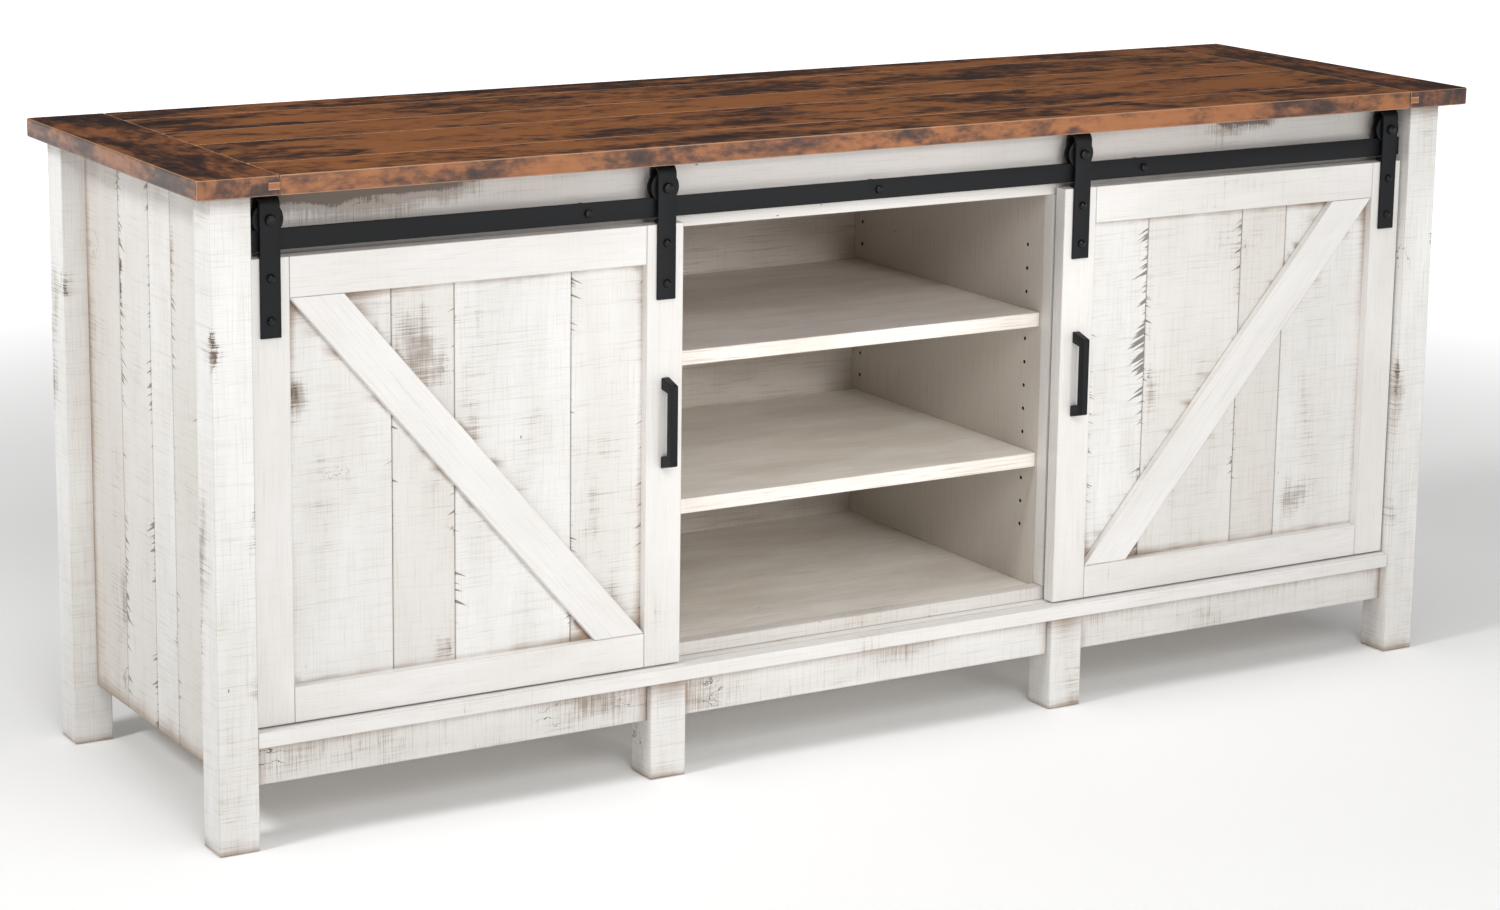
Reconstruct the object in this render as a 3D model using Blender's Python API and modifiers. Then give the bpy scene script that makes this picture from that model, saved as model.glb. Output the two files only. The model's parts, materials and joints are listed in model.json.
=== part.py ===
"""TV stand with two sliding barn doors, as separate wooden and metal pieces.

+X runs to the right as you face the doors, +Y to the back and +Z up. The
origin is on the floor, under the middle of the top. Sizes are in metres.
"""

import math

import bmesh
import bpy
from mathutils import Matrix
from mathutils import Vector

# Overall size and the clearance left between neighbouring pieces
WIDTH = 1.880
DEPTH = 0.558
HEIGHT = 0.810
GAP = 0.0003

# Planked top with a breadboard across each end
TOP_THICKNESS = 0.024
TOP_JOINTS = (-0.183, -0.026, 0.080, 0.206)
BREADBOARD_WIDTH = 0.102
TONGUE_LENGTH = 0.0145
TONGUE_THICKNESS = 0.0087
TONGUE_BOTTOM = 0.0072
TOP_ARRIS = 0.0015

# Corner posts, inner legs and side panels
POST_WIDTH = 0.051
POST_DEPTH = 0.049
POST_OUTER = 0.914
POST_FRONT = -0.252
INNER_LEG_CENTRE = 0.3073
INNER_LEG_FRONT = -0.2462
SIDE_THICKNESS = 0.020
SIDE_BOTTOM = 0.076
SIDE_GROOVES = (-0.140, -0.052, 0.018, 0.118)
HOUSING = 0.008

# Carcass
LEDGE_FRONT = -0.251
LEDGE_BACK = -0.193
LEDGE_BOTTOM = 0.125
LEDGE_THICKNESS = 0.0194
GUIDE_Y = -0.229
APRON_FRONT = -0.237
APRON_THICKNESS = 0.018
APRON_BOTTOM = 0.0757
FRAME_FRONT = -0.2125
FRAME_THICKNESS = 0.020
LIP_TOP = 0.1624
HEADER_BOTTOM = 0.6968
BAY_HALF = 0.2885
FRAME_STILE_WIDTH = 0.050
FLOOR_BOTTOM = 0.140
FLOOR_TOP = 0.158
DIVIDER_THICKNESS = 0.018
BACK_FRONT = 0.2715
BACK_THICKNESS = 0.0065
SHELF_THICKNESS = 0.019
SHELF_TOPS = (0.3424, 0.5342)
SIDE_SHELF_TOP = 0.4384
SHELF_FRONT = -0.189
SHELF_BACK = 0.260

# Doors
DOOR_OUTER = 0.8604
DOOR_INNER = 0.2875
DOOR_BOTTOM = 0.1465
DOOR_TOP = 0.7075
DOOR_FRONT = -0.239
DOOR_THICKNESS = 0.020
OUTER_STILE = 0.0494
INNER_STILE = 0.0513
TOP_RAIL = 0.049
BOTTOM_RAIL = 0.0442
PANEL_RECESS = 0.011
PANEL_HOUSING = 0.007
TENON_LENGTH = 0.020
TENON_THICKNESS = 0.007
BRACE_FOOT = 0.069
LEFT_GROOVES = (0.4375, 0.595, 0.6775)
RIGHT_GROOVES = (0.4349, 0.5935, 0.6695)

# Track, hangers and wheels
TRACK_HALF = 0.860
TRACK_BOTTOM = 0.715
TRACK_TOP = 0.740
TRACK_FRONT = -0.2338
TRACK_THICKNESS = 0.005
TRACK_BOLT_Z = 0.7272
TRACK_BOLTS = (-0.836, -0.418, 0.0, 0.418, 0.836)
HANGER_X = (0.313, 0.836)
STRAP_WIDTH = 0.0254
STRAP_THICKNESS = 0.0037
STRAP_OUTER_RADIUS = 0.0117
STRAP_BEND_Z = 0.769
STRAP_BOTTOM = 0.614
STRAP_TAIL = 0.744
STRAP_BOLTS = (0.634, 0.6845)
AXLE_Z = 0.7525
AXLE_RADIUS = 0.0040
WHEEL_RADIUS = 0.0195
WHEEL_THICKNESS = 0.012
WHEEL_SEAT_RADIUS = 0.0124
WHEEL_SEAT_WIDTH = 0.0064
WHEEL_BORE_RADIUS = 0.0041

# Handles
HANDLE_X = 0.312
HANDLE_WIDTH = 0.0115
HANDLE_BOTTOM = 0.400
HANDLE_TOP = 0.516
HANDLE_REACH = 0.0255
HANDLE_GRIP = 0.012
HANDLE_LEG = 0.015

FRONT = -DEPTH / 2.0
BACK = DEPTH / 2.0
UNDERSIDE = HEIGHT - TOP_THICKNESS
CASE_TOP = UNDERSIDE - GAP
POST_INNER = POST_OUTER - POST_WIDTH
CASE_HALF = POST_INNER - GAP
TRACK_Y = TRACK_FRONT + TRACK_THICKNESS / 2.0
WORLD = (0.0, 0.0, 0.0)


def clear_scene():
    """Remove what a new file starts with."""
    for item in list(bpy.data.objects):
        bpy.data.objects.remove(item, do_unlink=True)


def make_collection(name):
    """Add one collection to the scene."""
    collection = bpy.data.collections.new(name)
    bpy.context.scene.collection.children.link(collection)
    return collection


def make_material(name, colour, roughness, metallic=0.0):
    """Make one Principled material."""
    material = bpy.data.materials.new(name)
    material.use_nodes = True
    shader = material.node_tree.nodes["Principled BSDF"]
    shader.inputs["Base Color"].default_value = (*colour, 1.0)
    shader.inputs["Roughness"].default_value = roughness
    shader.inputs["Metallic"].default_value = metallic
    material.diffuse_color = (*colour, 1.0)
    return material


clear_scene()
STAND = make_collection("tv_stand")
CUTTERS = make_collection("cutters")

STAINED = make_material("stained_wood", (0.16, 0.055, 0.030), 0.30)
PAINTED = make_material("painted_wood", (0.70, 0.66, 0.56), 0.50)
INSIDE = make_material("painted_inside", (0.42, 0.38, 0.31), 0.55)
BLACK = make_material("black_metal", (0.018, 0.018, 0.018), 0.45, 1.0)


def mirrored(low, high, side):
    """Give a span on the right as it is, or its mirror image on the left."""
    if side > 0:
        return (low, high)
    return (-high, -low)


def place(name, mesh_builder, origin, material, cutter=False):
    """Turn a bmesh into an object whose own origin is at the given point."""
    mesh_builder.normal_update()
    bmesh.ops.recalc_face_normals(mesh_builder, faces=mesh_builder.faces)
    bmesh.ops.translate(mesh_builder, verts=mesh_builder.verts, vec=-Vector(origin))
    mesh = bpy.data.meshes.new(name)
    mesh_builder.to_mesh(mesh)
    mesh_builder.free()
    item = bpy.data.objects.new(name, mesh)
    item.location = origin
    if cutter:
        CUTTERS.objects.link(item)
        item.hide_render = True
        item.display_type = "WIRE"
    else:
        mesh.materials.append(material)
        STAND.objects.link(item)
    return item


def ease(item, width, segments=1, weighted=False):
    """Take the sharp edges off a piece."""
    bevel = item.modifiers.new("eased_edges", "BEVEL")
    bevel.width = width
    bevel.segments = segments
    bevel.limit_method = "WEIGHT" if weighted else "ANGLE"
    bevel.angle_limit = math.radians(30.0)
    bevel.harden_normals = False
    return item


def block_mesh(x, y, z):
    """Build a rectangular block between three pairs of limits."""
    builder = bmesh.new()
    centre = Vector(((x[0] + x[1]) / 2.0, (y[0] + y[1]) / 2.0, (z[0] + z[1]) / 2.0))
    size = Matrix.Diagonal((x[1] - x[0], y[1] - y[0], z[1] - z[0], 1.0))
    bmesh.ops.create_cube(builder, size=1.0, matrix=Matrix.Translation(centre) @ size)
    return builder, centre


def board(name, x, y, z, material, edge=0.0008):
    """Make one straight board with its edges eased."""
    builder, centre = block_mesh(x, y, z)
    item = place(name, builder, centre, material)
    if edge > 0.0:
        ease(item, edge)
    return item


def prism_mesh(outline, axis, span):
    """Extrude a flat outline along one axis."""
    builder = bmesh.new()
    corners = []
    for first, second in outline:
        if axis == "X":
            point = (span[0], first, second)
        elif axis == "Y":
            point = (first, span[0], second)
        else:
            point = (first, second, span[0])
        corners.append(builder.verts.new(point))
    face = builder.faces.new(corners)
    swept = bmesh.ops.extrude_face_region(builder, geom=[face])
    moved = [part for part in swept["geom"] if isinstance(part, bmesh.types.BMVert)]
    step = Vector((0.0, 0.0, 0.0))
    step["XYZ".index(axis)] = span[1] - span[0]
    bmesh.ops.translate(builder, verts=moved, vec=step)
    return builder


def prism(name, outline, axis, span, origin, material):
    """Make one piece that has the same outline all along an axis."""
    return place(name, prism_mesh(outline, axis, span), origin, material)


def boolean(item, other, operation):
    """Cut or join one piece with a helper shape."""
    step = item.modifiers.new(other.name, "BOOLEAN")
    step.operation = operation
    step.solver = "EXACT"
    step.object = other
    return item


def cut_block(item, label, x, y, z):
    """Cut a rectangular housing, mortise or rebate."""
    builder, centre = block_mesh(x, y, z)
    cutter = place(item.name + "_" + label, builder, centre, None, cutter=True)
    return boolean(item, cutter, "DIFFERENCE")


def join_block(item, label, x, y, z):
    """Add a rectangular tenon."""
    builder, centre = block_mesh(x, y, z)
    helper = place(item.name + "_" + label, builder, centre, None, cutter=True)
    return boolean(item, helper, "UNION")


def spin_profile(builder, profile, sides):
    """Turn an outline of (radius, position along Y) about a line along Y."""
    points = [builder.verts.new((radius, along, 0.0)) for radius, along in profile]
    edges = [builder.edges.new(pair) for pair in zip(points, points[1:])]
    closed = profile[0][0] > 0.0
    if closed:
        edges.append(builder.edges.new((points[-1], points[0])))
    made = bmesh.ops.spin(
        builder,
        geom=points + edges,
        cent=(0.0, 0.0, 0.0),
        axis=(0.0, 1.0, 0.0),
        angle=2.0 * math.pi,
        steps=sides,
        use_merge=True,
        use_duplicate=False,
    )
    bmesh.ops.remove_doubles(builder, verts=builder.verts, dist=0.00001)
    return made


def turned_mesh(profile, centres, sides):
    """Turn the same outline about one or more lines along Y."""
    whole = bmesh.new()
    for centre in centres:
        single = bmesh.new()
        spin_profile(single, profile, sides)
        bmesh.ops.translate(single, verts=single.verts, vec=Vector((centre[0], 0.0, centre[1])))
        bmesh.ops.recalc_face_normals(single, faces=single.faces)
        carrier = bpy.data.meshes.new("carrier")
        single.to_mesh(carrier)
        single.free()
        whole.from_mesh(carrier)
        bpy.data.meshes.remove(carrier)
    return whole


def build_top():
    """Five planks tongued into a breadboard at each end."""
    seam = WIDTH / 2.0 - BREADBOARD_WIDTH
    tongue_low = UNDERSIDE + TONGUE_BOTTOM
    tongue_high = tongue_low + TONGUE_THICKNESS
    limits = (FRONT,) + TOP_JOINTS + (BACK,)
    shoulder = seam - GAP
    tip = seam + TONGUE_LENGTH
    outline = [
        (-shoulder, UNDERSIDE),
        (shoulder, UNDERSIDE),
        (shoulder, tongue_low),
        (tip, tongue_low),
        (tip, tongue_high),
        (shoulder, tongue_high),
        (shoulder, HEIGHT),
        (-shoulder, HEIGHT),
        (-shoulder, tongue_high),
        (-tip, tongue_high),
        (-tip, tongue_low),
        (-shoulder, tongue_low),
    ]
    for number in range(5):
        low = limits[number] + (GAP / 2.0 if number > 0 else 0.0)
        high = limits[number + 1] - (GAP / 2.0 if number < 4 else 0.0)
        builder = prism_mesh(outline, "Y", (low, high))
        weights = builder.edges.layers.float.new("bevel_weight_edge")
        for edge in builder.edges:
            first, second = edge.verts
            on_top = first.co.z > HEIGHT - 0.0001 and second.co.z > HEIGHT - 0.0001
            if on_top and abs(first.co.x - second.co.x) > 0.5:
                edge[weights] = 1.0
        origin = (0.0, (low + high) / 2.0, HEIGHT - TOP_THICKNESS / 2.0)
        item = place("top_plank_" + str(number + 1), builder, origin, STAINED)
        ease(item, TOP_ARRIS, weighted=True)

    outer = WIDTH / 2.0
    bottom = tip + GAP
    for name, side in (("breadboard_left", -1.0), ("breadboard_right", 1.0)):
        outline = [
            (side * seam, UNDERSIDE),
            (side * outer, UNDERSIDE),
            (side * outer, HEIGHT),
            (side * seam, HEIGHT),
            (side * seam, tongue_high + GAP),
            (side * bottom, tongue_high + GAP),
            (side * bottom, tongue_low - GAP),
            (side * seam, tongue_low - GAP),
        ]
        builder = prism_mesh(outline, "Y", (FRONT, BACK))
        weights = builder.edges.layers.float.new("bevel_weight_edge")
        for edge in builder.edges:
            first, second = edge.verts
            on_top = first.co.z > HEIGHT - 0.0001 and second.co.z > HEIGHT - 0.0001
            outside = abs(first.co.x) > outer - 0.0001 and abs(second.co.x) > outer - 0.0001
            upright = abs(first.co.z - second.co.z) > 0.02
            if on_top:
                edge[weights] = 0.5
            if outside and upright:
                edge[weights] = 1.0
        origin = (side * (seam + outer) / 2.0, 0.0, HEIGHT - TOP_THICKNESS / 2.0)
        item = place(name, builder, origin, STAINED)
        ease(item, 2.0 * TOP_ARRIS, segments=2, weighted=True)


def build_legs():
    """Corner posts rebated for the side panels, and the inner legs."""
    post_back = BACK - POST_DEPTH
    for side_name, side in (("left", -1.0), ("right", 1.0)):
        x = mirrored(POST_INNER, POST_OUTER, side)
        rebate_x = mirrored(POST_INNER - 0.002, POST_INNER + SIDE_THICKNESS + GAP, side)
        rebate_z = (SIDE_BOTTOM - GAP, UNDERSIDE + 0.002)

        face = POST_FRONT + POST_DEPTH
        height = (0.0, CASE_TOP)
        front = board("post_front_" + side_name, x, (POST_FRONT, face), height, PAINTED, 0.0015)
        cut_block(front, "rebate", rebate_x, (face - HOUSING - GAP, face + 0.002), rebate_z)

        rear = board("post_back_" + side_name, x, (post_back, BACK), height, PAINTED, 0.0015)
        cut_block(rear, "rebate", rebate_x, (post_back - 0.002, post_back + HOUSING + GAP), rebate_z)

        half = POST_WIDTH / 2.0
        x = mirrored(INNER_LEG_CENTRE - half, INNER_LEG_CENTRE + half, side)
        y = (INNER_LEG_FRONT, INNER_LEG_FRONT + POST_DEPTH)
        board("leg_front_" + side_name, x, y, (0.0, LEDGE_BOTTOM - GAP), PAINTED, 0.0015)
        y = (BACK_FRONT - GAP - POST_DEPTH, BACK_FRONT - GAP)
        board("leg_back_" + side_name, x, y, (0.0, FLOOR_BOTTOM - GAP), PAINTED, 0.0015)


def grooved_outline(x, y, grooves, along_y, face, depth):
    """Outline of a panel, seen from above, with a V cut for each plank joint.

    The V cuts are in the panel's outer face, which is at the face value.
    """
    half = 1.2 * depth
    outline = []
    inward = depth if face in (x[0], y[0]) else -depth
    if along_y:
        other = x[0] if face == x[1] else x[1]
        outline.append((other, y[0]))
        outline.append((face, y[0]))
        for groove in grooves:
            outline.append((face, groove - half))
            outline.append((face + inward, groove))
            outline.append((face, groove + half))
        outline.append((face, y[1]))
        outline.append((other, y[1]))
        return outline
    other = y[0] if face == y[1] else y[1]
    outline.append((x[0], other))
    outline.append((x[0], face))
    for groove in grooves:
        outline.append((groove - half, face))
        outline.append((groove, face + inward))
        outline.append((groove + half, face))
    outline.append((x[1], face))
    outline.append((x[1], other))
    return outline


def build_sides():
    """Side panels with upright plank joints on the outside."""
    y = (POST_FRONT + POST_DEPTH - HOUSING, BACK - POST_DEPTH + HOUSING)
    for name, side in (("side_left", -1.0), ("side_right", 1.0)):
        x = mirrored(POST_INNER, POST_INNER + SIDE_THICKNESS, side)
        face = x[0] if side < 0 else x[1]
        outline = grooved_outline(x, y, SIDE_GROOVES, True, face, 0.0015)
        origin = ((x[0] + x[1]) / 2.0, (y[0] + y[1]) / 2.0, (SIDE_BOTTOM + CASE_TOP) / 2.0)
        prism(name, outline, "Z", (SIDE_BOTTOM, CASE_TOP), origin, PAINTED)


def build_case():
    """Back, floor, dividers, face frame, ledge, aprons and shelves."""
    across = (-CASE_HALF, CASE_HALF)
    frame_y = (FRAME_FRONT, FRAME_FRONT + FRAME_THICKNESS)
    inside_y = (frame_y[1] + GAP, BACK_FRONT - GAP)
    ledge_top = LEDGE_BOTTOM + LEDGE_THICKNESS

    back_y = (BACK_FRONT, BACK_FRONT + BACK_THICKNESS)
    board("back_panel", across, back_y, (SIDE_BOTTOM, CASE_TOP), INSIDE)
    board("floor_panel", across, inside_y, (FLOOR_BOTTOM, FLOOR_TOP), INSIDE)
    board("frame_header", across, frame_y, (HEADER_BOTTOM, CASE_TOP), PAINTED)
    board("frame_sill", across, frame_y, (ledge_top + GAP, LIP_TOP), PAINTED)

    ledge = board("ledge", across, (LEDGE_FRONT, LEDGE_BACK), (LEDGE_BOTTOM, ledge_top), PAINTED)
    groove = (GUIDE_Y - 0.0016, GUIDE_Y + 0.0016)
    cut_block(ledge, "guide", (-WIDTH, WIDTH), groove, (ledge_top - 0.005, ledge_top + 0.002))

    for name, side in (("left", -1.0), ("right", 1.0)):
        x = mirrored(BAY_HALF, BAY_HALF + FRAME_STILE_WIDTH, side)
        board("frame_stile_" + name, x, frame_y, (LIP_TOP + GAP, HEADER_BOTTOM - GAP), PAINTED)
        x = mirrored(BAY_HALF, BAY_HALF + DIVIDER_THICKNESS, side)
        board("divider_" + name, x, inside_y, (FLOOR_TOP + GAP, CASE_TOP), INSIDE)

    inner = INNER_LEG_CENTRE - POST_WIDTH / 2.0 - GAP
    outer = INNER_LEG_CENTRE + POST_WIDTH / 2.0 + GAP
    apron_y = (APRON_FRONT, APRON_FRONT + APRON_THICKNESS)
    apron_z = (APRON_BOTTOM, LEDGE_BOTTOM - GAP)
    board("apron_left", (-CASE_HALF, -outer), apron_y, apron_z, PAINTED)
    board("apron_centre", (-inner, inner), apron_y, apron_z, PAINTED)
    board("apron_right", (outer, CASE_HALF), apron_y, apron_z, PAINTED)

    shelf_y = (SHELF_FRONT, SHELF_BACK)
    reach = BAY_HALF - GAP
    for name, top in zip(("shelf_lower", "shelf_upper"), SHELF_TOPS):
        board(name, (-reach, reach), shelf_y, (top - SHELF_THICKNESS, top), INSIDE)
    start = BAY_HALF + DIVIDER_THICKNESS + GAP
    for name, side in (("shelf_left", -1.0), ("shelf_right", 1.0)):
        x = mirrored(start, CASE_HALF, side)
        board(name, x, shelf_y, (SIDE_SHELF_TOP - SHELF_THICKNESS, SIDE_SHELF_TOP), INSIDE)


def build_door(name, side, grooves):
    """A frame tenoned together round a planked panel, with one brace."""
    y = (DOOR_FRONT, DOOR_FRONT + DOOR_THICKNESS)
    panel_y = (DOOR_FRONT + PANEL_RECESS, y[1] - GAP)
    inner = DOOR_INNER + INNER_STILE
    outer = DOOR_OUTER - OUTER_STILE
    low = DOOR_BOTTOM + BOTTOM_RAIL
    high = DOOR_TOP - TOP_RAIL
    seat_y = (panel_y[0] - GAP, y[1] + 0.002)
    seat_z = (low - PANEL_HOUSING - GAP, high + PANEL_HOUSING + GAP)

    tenon_front = DOOR_FRONT + 0.0035
    tenon_y = (tenon_front, tenon_front + TENON_THICKNESS)
    mortise_y = (tenon_y[0] - GAP, tenon_y[1] + GAP)
    tenons = (
        ("top", (high + 0.012, DOOR_TOP - 0.010)),
        ("bottom", (DOOR_BOTTOM + 0.009, low - 0.011)),
    )
    seat_depth = PANEL_HOUSING + GAP
    mortise_depth = TENON_LENGTH + GAP
    stiles = (
        (
            "stile_outer",
            (outer, DOOR_OUTER),
            (outer - 0.002, outer + seat_depth),
            (outer - 0.002, outer + mortise_depth),
        ),
        (
            "stile_inner",
            (DOOR_INNER, inner),
            (inner - seat_depth, inner + 0.002),
            (inner - mortise_depth, inner + 0.002),
        ),
    )
    for label, span, seat, mortise in stiles:
        x = mirrored(*span, side)
        item = board(name + "_" + label, x, y, (DOOR_BOTTOM, DOOR_TOP), PAINTED)
        cut_block(item, "seat", mirrored(*seat, side), seat_y, seat_z)
        mortise_x = mirrored(*mortise, side)
        for level, z in tenons:
            cut_block(item, "mortise_" + level, mortise_x, mortise_y, (z[0] - GAP, z[1] + GAP))

    rails = (
        ("rail_top", (high, DOOR_TOP), (high - 0.002, high + seat_depth), tenons[0][1]),
        ("rail_bottom", (DOOR_BOTTOM, low), (low - seat_depth, low + 0.002), tenons[1][1]),
    )
    for label, z, seat, tenon_z in rails:
        x = mirrored(inner + GAP, outer - GAP, side)
        item = board(name + "_" + label, x, y, z, PAINTED)
        cut_block(item, "seat", (x[0] - 0.002, x[1] + 0.002), seat_y, seat)
        tenon_x = (x[0] - TENON_LENGTH + GAP, x[1] + TENON_LENGTH - GAP)
        join_block(item, "tenons", tenon_x, tenon_y, tenon_z)

    x = mirrored(inner - PANEL_HOUSING, outer + PANEL_HOUSING, side)
    z = (low - PANEL_HOUSING, high + PANEL_HOUSING)
    places = sorted(side * groove for groove in grooves)
    outline = grooved_outline(x, panel_y, places, False, panel_y[0], 0.0012)
    origin = ((x[0] + x[1]) / 2.0, (panel_y[0] + panel_y[1]) / 2.0, (z[0] + z[1]) / 2.0)
    prism(name + "_panel", outline, "Z", z, origin, PAINTED)

    start = outer - GAP
    end = inner + GAP
    outline = [
        (side * start, high - GAP),
        (side * (start - BRACE_FOOT), high - GAP),
        (side * end, low + GAP),
        (side * (end + BRACE_FOOT), low + GAP),
    ]
    brace_y = (DOOR_FRONT + 0.0005, panel_y[0] - GAP)
    origin = (side * (start + end) / 2.0, (brace_y[0] + brace_y[1]) / 2.0, (low + high) / 2.0)
    ease(prism(name + "_brace", outline, "Y", brace_y, origin, PAINTED), 0.0006)


def build_handle(name, side):
    """A square-section pull with two tapered legs."""
    base = DOOR_FRONT - GAP
    front = DOOR_FRONT - HANDLE_REACH
    grip = front + HANDLE_GRIP
    outline = [
        (base, HANDLE_BOTTOM),
        (front, HANDLE_BOTTOM + 0.0065),
        (front, HANDLE_TOP - 0.0075),
        (base, HANDLE_TOP),
        (base, HANDLE_TOP - HANDLE_LEG),
        (grip, HANDLE_TOP - HANDLE_LEG - 0.0030),
        (grip, HANDLE_BOTTOM + HANDLE_LEG + 0.0030),
        (base, HANDLE_BOTTOM + HANDLE_LEG),
    ]
    centre = side * HANDLE_X
    span = (centre - HANDLE_WIDTH / 2.0, centre + HANDLE_WIDTH / 2.0)
    origin = (centre, base, (HANDLE_BOTTOM + HANDLE_TOP) / 2.0)
    ease(prism(name + "_handle", outline, "X", span, origin, BLACK), 0.0013)


def build_track():
    """A flat rail held off the header by five stand-offs and bolts."""
    front = TRACK_FRONT
    back = TRACK_FRONT + TRACK_THICKNESS
    wall = FRAME_FRONT - GAP
    height = (TRACK_BOTTOM, TRACK_TOP)
    track = board("track", (-TRACK_HALF, TRACK_HALF), (front, back), height, BLACK, 0.0004)
    profile = [
        (0.0, front - 0.0040),
        (0.0045, front - 0.0040),
        (0.0052, front - 0.0030),
        (0.0052, back - 0.0010),
        (0.0055, back - 0.0010),
        (0.0055, wall - 0.0060),
        (0.0105, wall - 0.0060),
        (0.0105, wall),
        (0.0, wall),
    ]
    centres = [(x, TRACK_BOLT_Z) for x in TRACK_BOLTS]
    fixings = place("track_fixings", turned_mesh(profile, centres, 16), WORLD, None, cutter=True)
    boolean(track, fixings, "UNION")


def build_hanger(name, x):
    """A strap bent over its wheel, with two bolts into the door."""
    outer = STRAP_OUTER_RADIUS
    inner = STRAP_OUTER_RADIUS - STRAP_THICKNESS
    outline = [(TRACK_Y - outer, STRAP_BOTTOM)]
    steps = 12
    for step in range(steps + 1):
        angle = math.pi - math.pi * step / steps
        outline.append((TRACK_Y + outer * math.cos(angle), STRAP_BEND_Z + outer * math.sin(angle)))
    outline.append((TRACK_Y + outer, STRAP_TAIL))
    outline.append((TRACK_Y + inner, STRAP_TAIL))
    for step in range(steps + 1):
        angle = math.pi * step / steps
        outline.append((TRACK_Y + inner * math.cos(angle), STRAP_BEND_Z + inner * math.sin(angle)))
    outline.append((TRACK_Y - inner, STRAP_BOTTOM))
    span = (x - STRAP_WIDTH / 2.0, x + STRAP_WIDTH / 2.0)
    hanger = prism(name + "_hanger", outline, "X", span, (x, TRACK_Y, AXLE_Z), BLACK)

    face = TRACK_Y - outer
    profile = [
        (0.0, face - 0.0045),
        (0.0028, face - 0.0041),
        (0.0047, face - 0.0028),
        (0.0055, face - 0.0008),
        (0.0055, face + 0.0012),
        (0.0, face + 0.0012),
    ]
    centres = [(x, z) for z in STRAP_BOLTS]
    bolts = place(name + "_strap_bolts", turned_mesh(profile, centres, 12), WORLD, None, cutter=True)
    boolean(hanger, bolts, "UNION")

    hole = AXLE_RADIUS + GAP
    profile = [(0.0, -0.02), (hole, -0.02), (hole, 0.02), (0.0, 0.02)]
    drill = place(name + "_axle_hole", turned_mesh(profile, [(0.0, 0.0)], 24), WORLD, None, cutter=True)
    drill.location = (x, TRACK_Y, AXLE_Z)
    boolean(hanger, drill, "DIFFERENCE")


def build_axle(name, x):
    """A shoulder bolt with its nut, held in the strap."""
    strap_front = TRACK_Y - STRAP_OUTER_RADIUS
    strap_back = TRACK_Y + STRAP_OUTER_RADIUS
    profile = [
        (0.0, strap_front - GAP - 0.0047),
        (0.0055, strap_front - GAP - 0.0047),
        (0.0065, strap_front - GAP - 0.0037),
        (0.0065, strap_front - GAP),
        (AXLE_RADIUS, strap_front - GAP),
        (AXLE_RADIUS, strap_back + GAP),
        (0.0065, strap_back + GAP),
        (0.0065, strap_back + GAP + 0.0040),
        (0.0, strap_back + GAP + 0.0040),
    ]
    place(name + "_axle", turned_mesh(profile, [(x, AXLE_Z)], 24), (x, TRACK_Y, AXLE_Z), BLACK)


def build_wheel(name, x):
    """A wheel with a groove that runs on the top of the track."""
    half = WHEEL_THICKNESS / 2.0
    seat = WHEEL_SEAT_WIDTH / 2.0
    lip = WHEEL_RADIUS - 0.0008
    profile = [
        (WHEEL_BORE_RADIUS, -half),
        (lip, -half),
        (WHEEL_RADIUS, -half + 0.0008),
        (WHEEL_RADIUS, -seat - 0.0006),
        (WHEEL_SEAT_RADIUS, -seat),
        (WHEEL_SEAT_RADIUS, seat),
        (WHEEL_RADIUS, seat + 0.0006),
        (WHEEL_RADIUS, half - 0.0008),
        (lip, half),
        (WHEEL_BORE_RADIUS, half),
    ]
    shifted = [(radius, along + TRACK_Y) for radius, along in profile]
    place(name + "_wheel", turned_mesh(shifted, [(x, AXLE_Z)], 24), (x, TRACK_Y, AXLE_Z), BLACK)


build_top()
build_legs()
build_sides()
build_case()
build_track()
for door_name, door_side, door_grooves in (("left", -1.0, LEFT_GROOVES), ("right", 1.0, RIGHT_GROOVES)):
    build_door(door_name, door_side, door_grooves)
    build_handle(door_name, door_side)
    for position, hanger_x in zip(("inner", "outer"), HANGER_X):
        build_hanger(door_name + "_" + position, door_side * hanger_x)
        build_axle(door_name + "_" + position, door_side * hanger_x)
        build_wheel(door_name + "_" + position, door_side * hanger_x)
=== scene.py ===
# %% [markdown]
# # A cream barn-door TV stand with a stained plank top
#
# The stand is a painted wooden carcass with a dark stained top, three open
# shelves in the middle and a sliding door on each side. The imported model
# gives the size and place of every part. This lesson rebuilds each board with
# rounded corners and its own grain, then gives it paint, stain or powder coat.

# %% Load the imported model
import json
import math

import bmesh
import bpy
import numpy as np
from mathutils import Matrix, Vector

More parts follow.
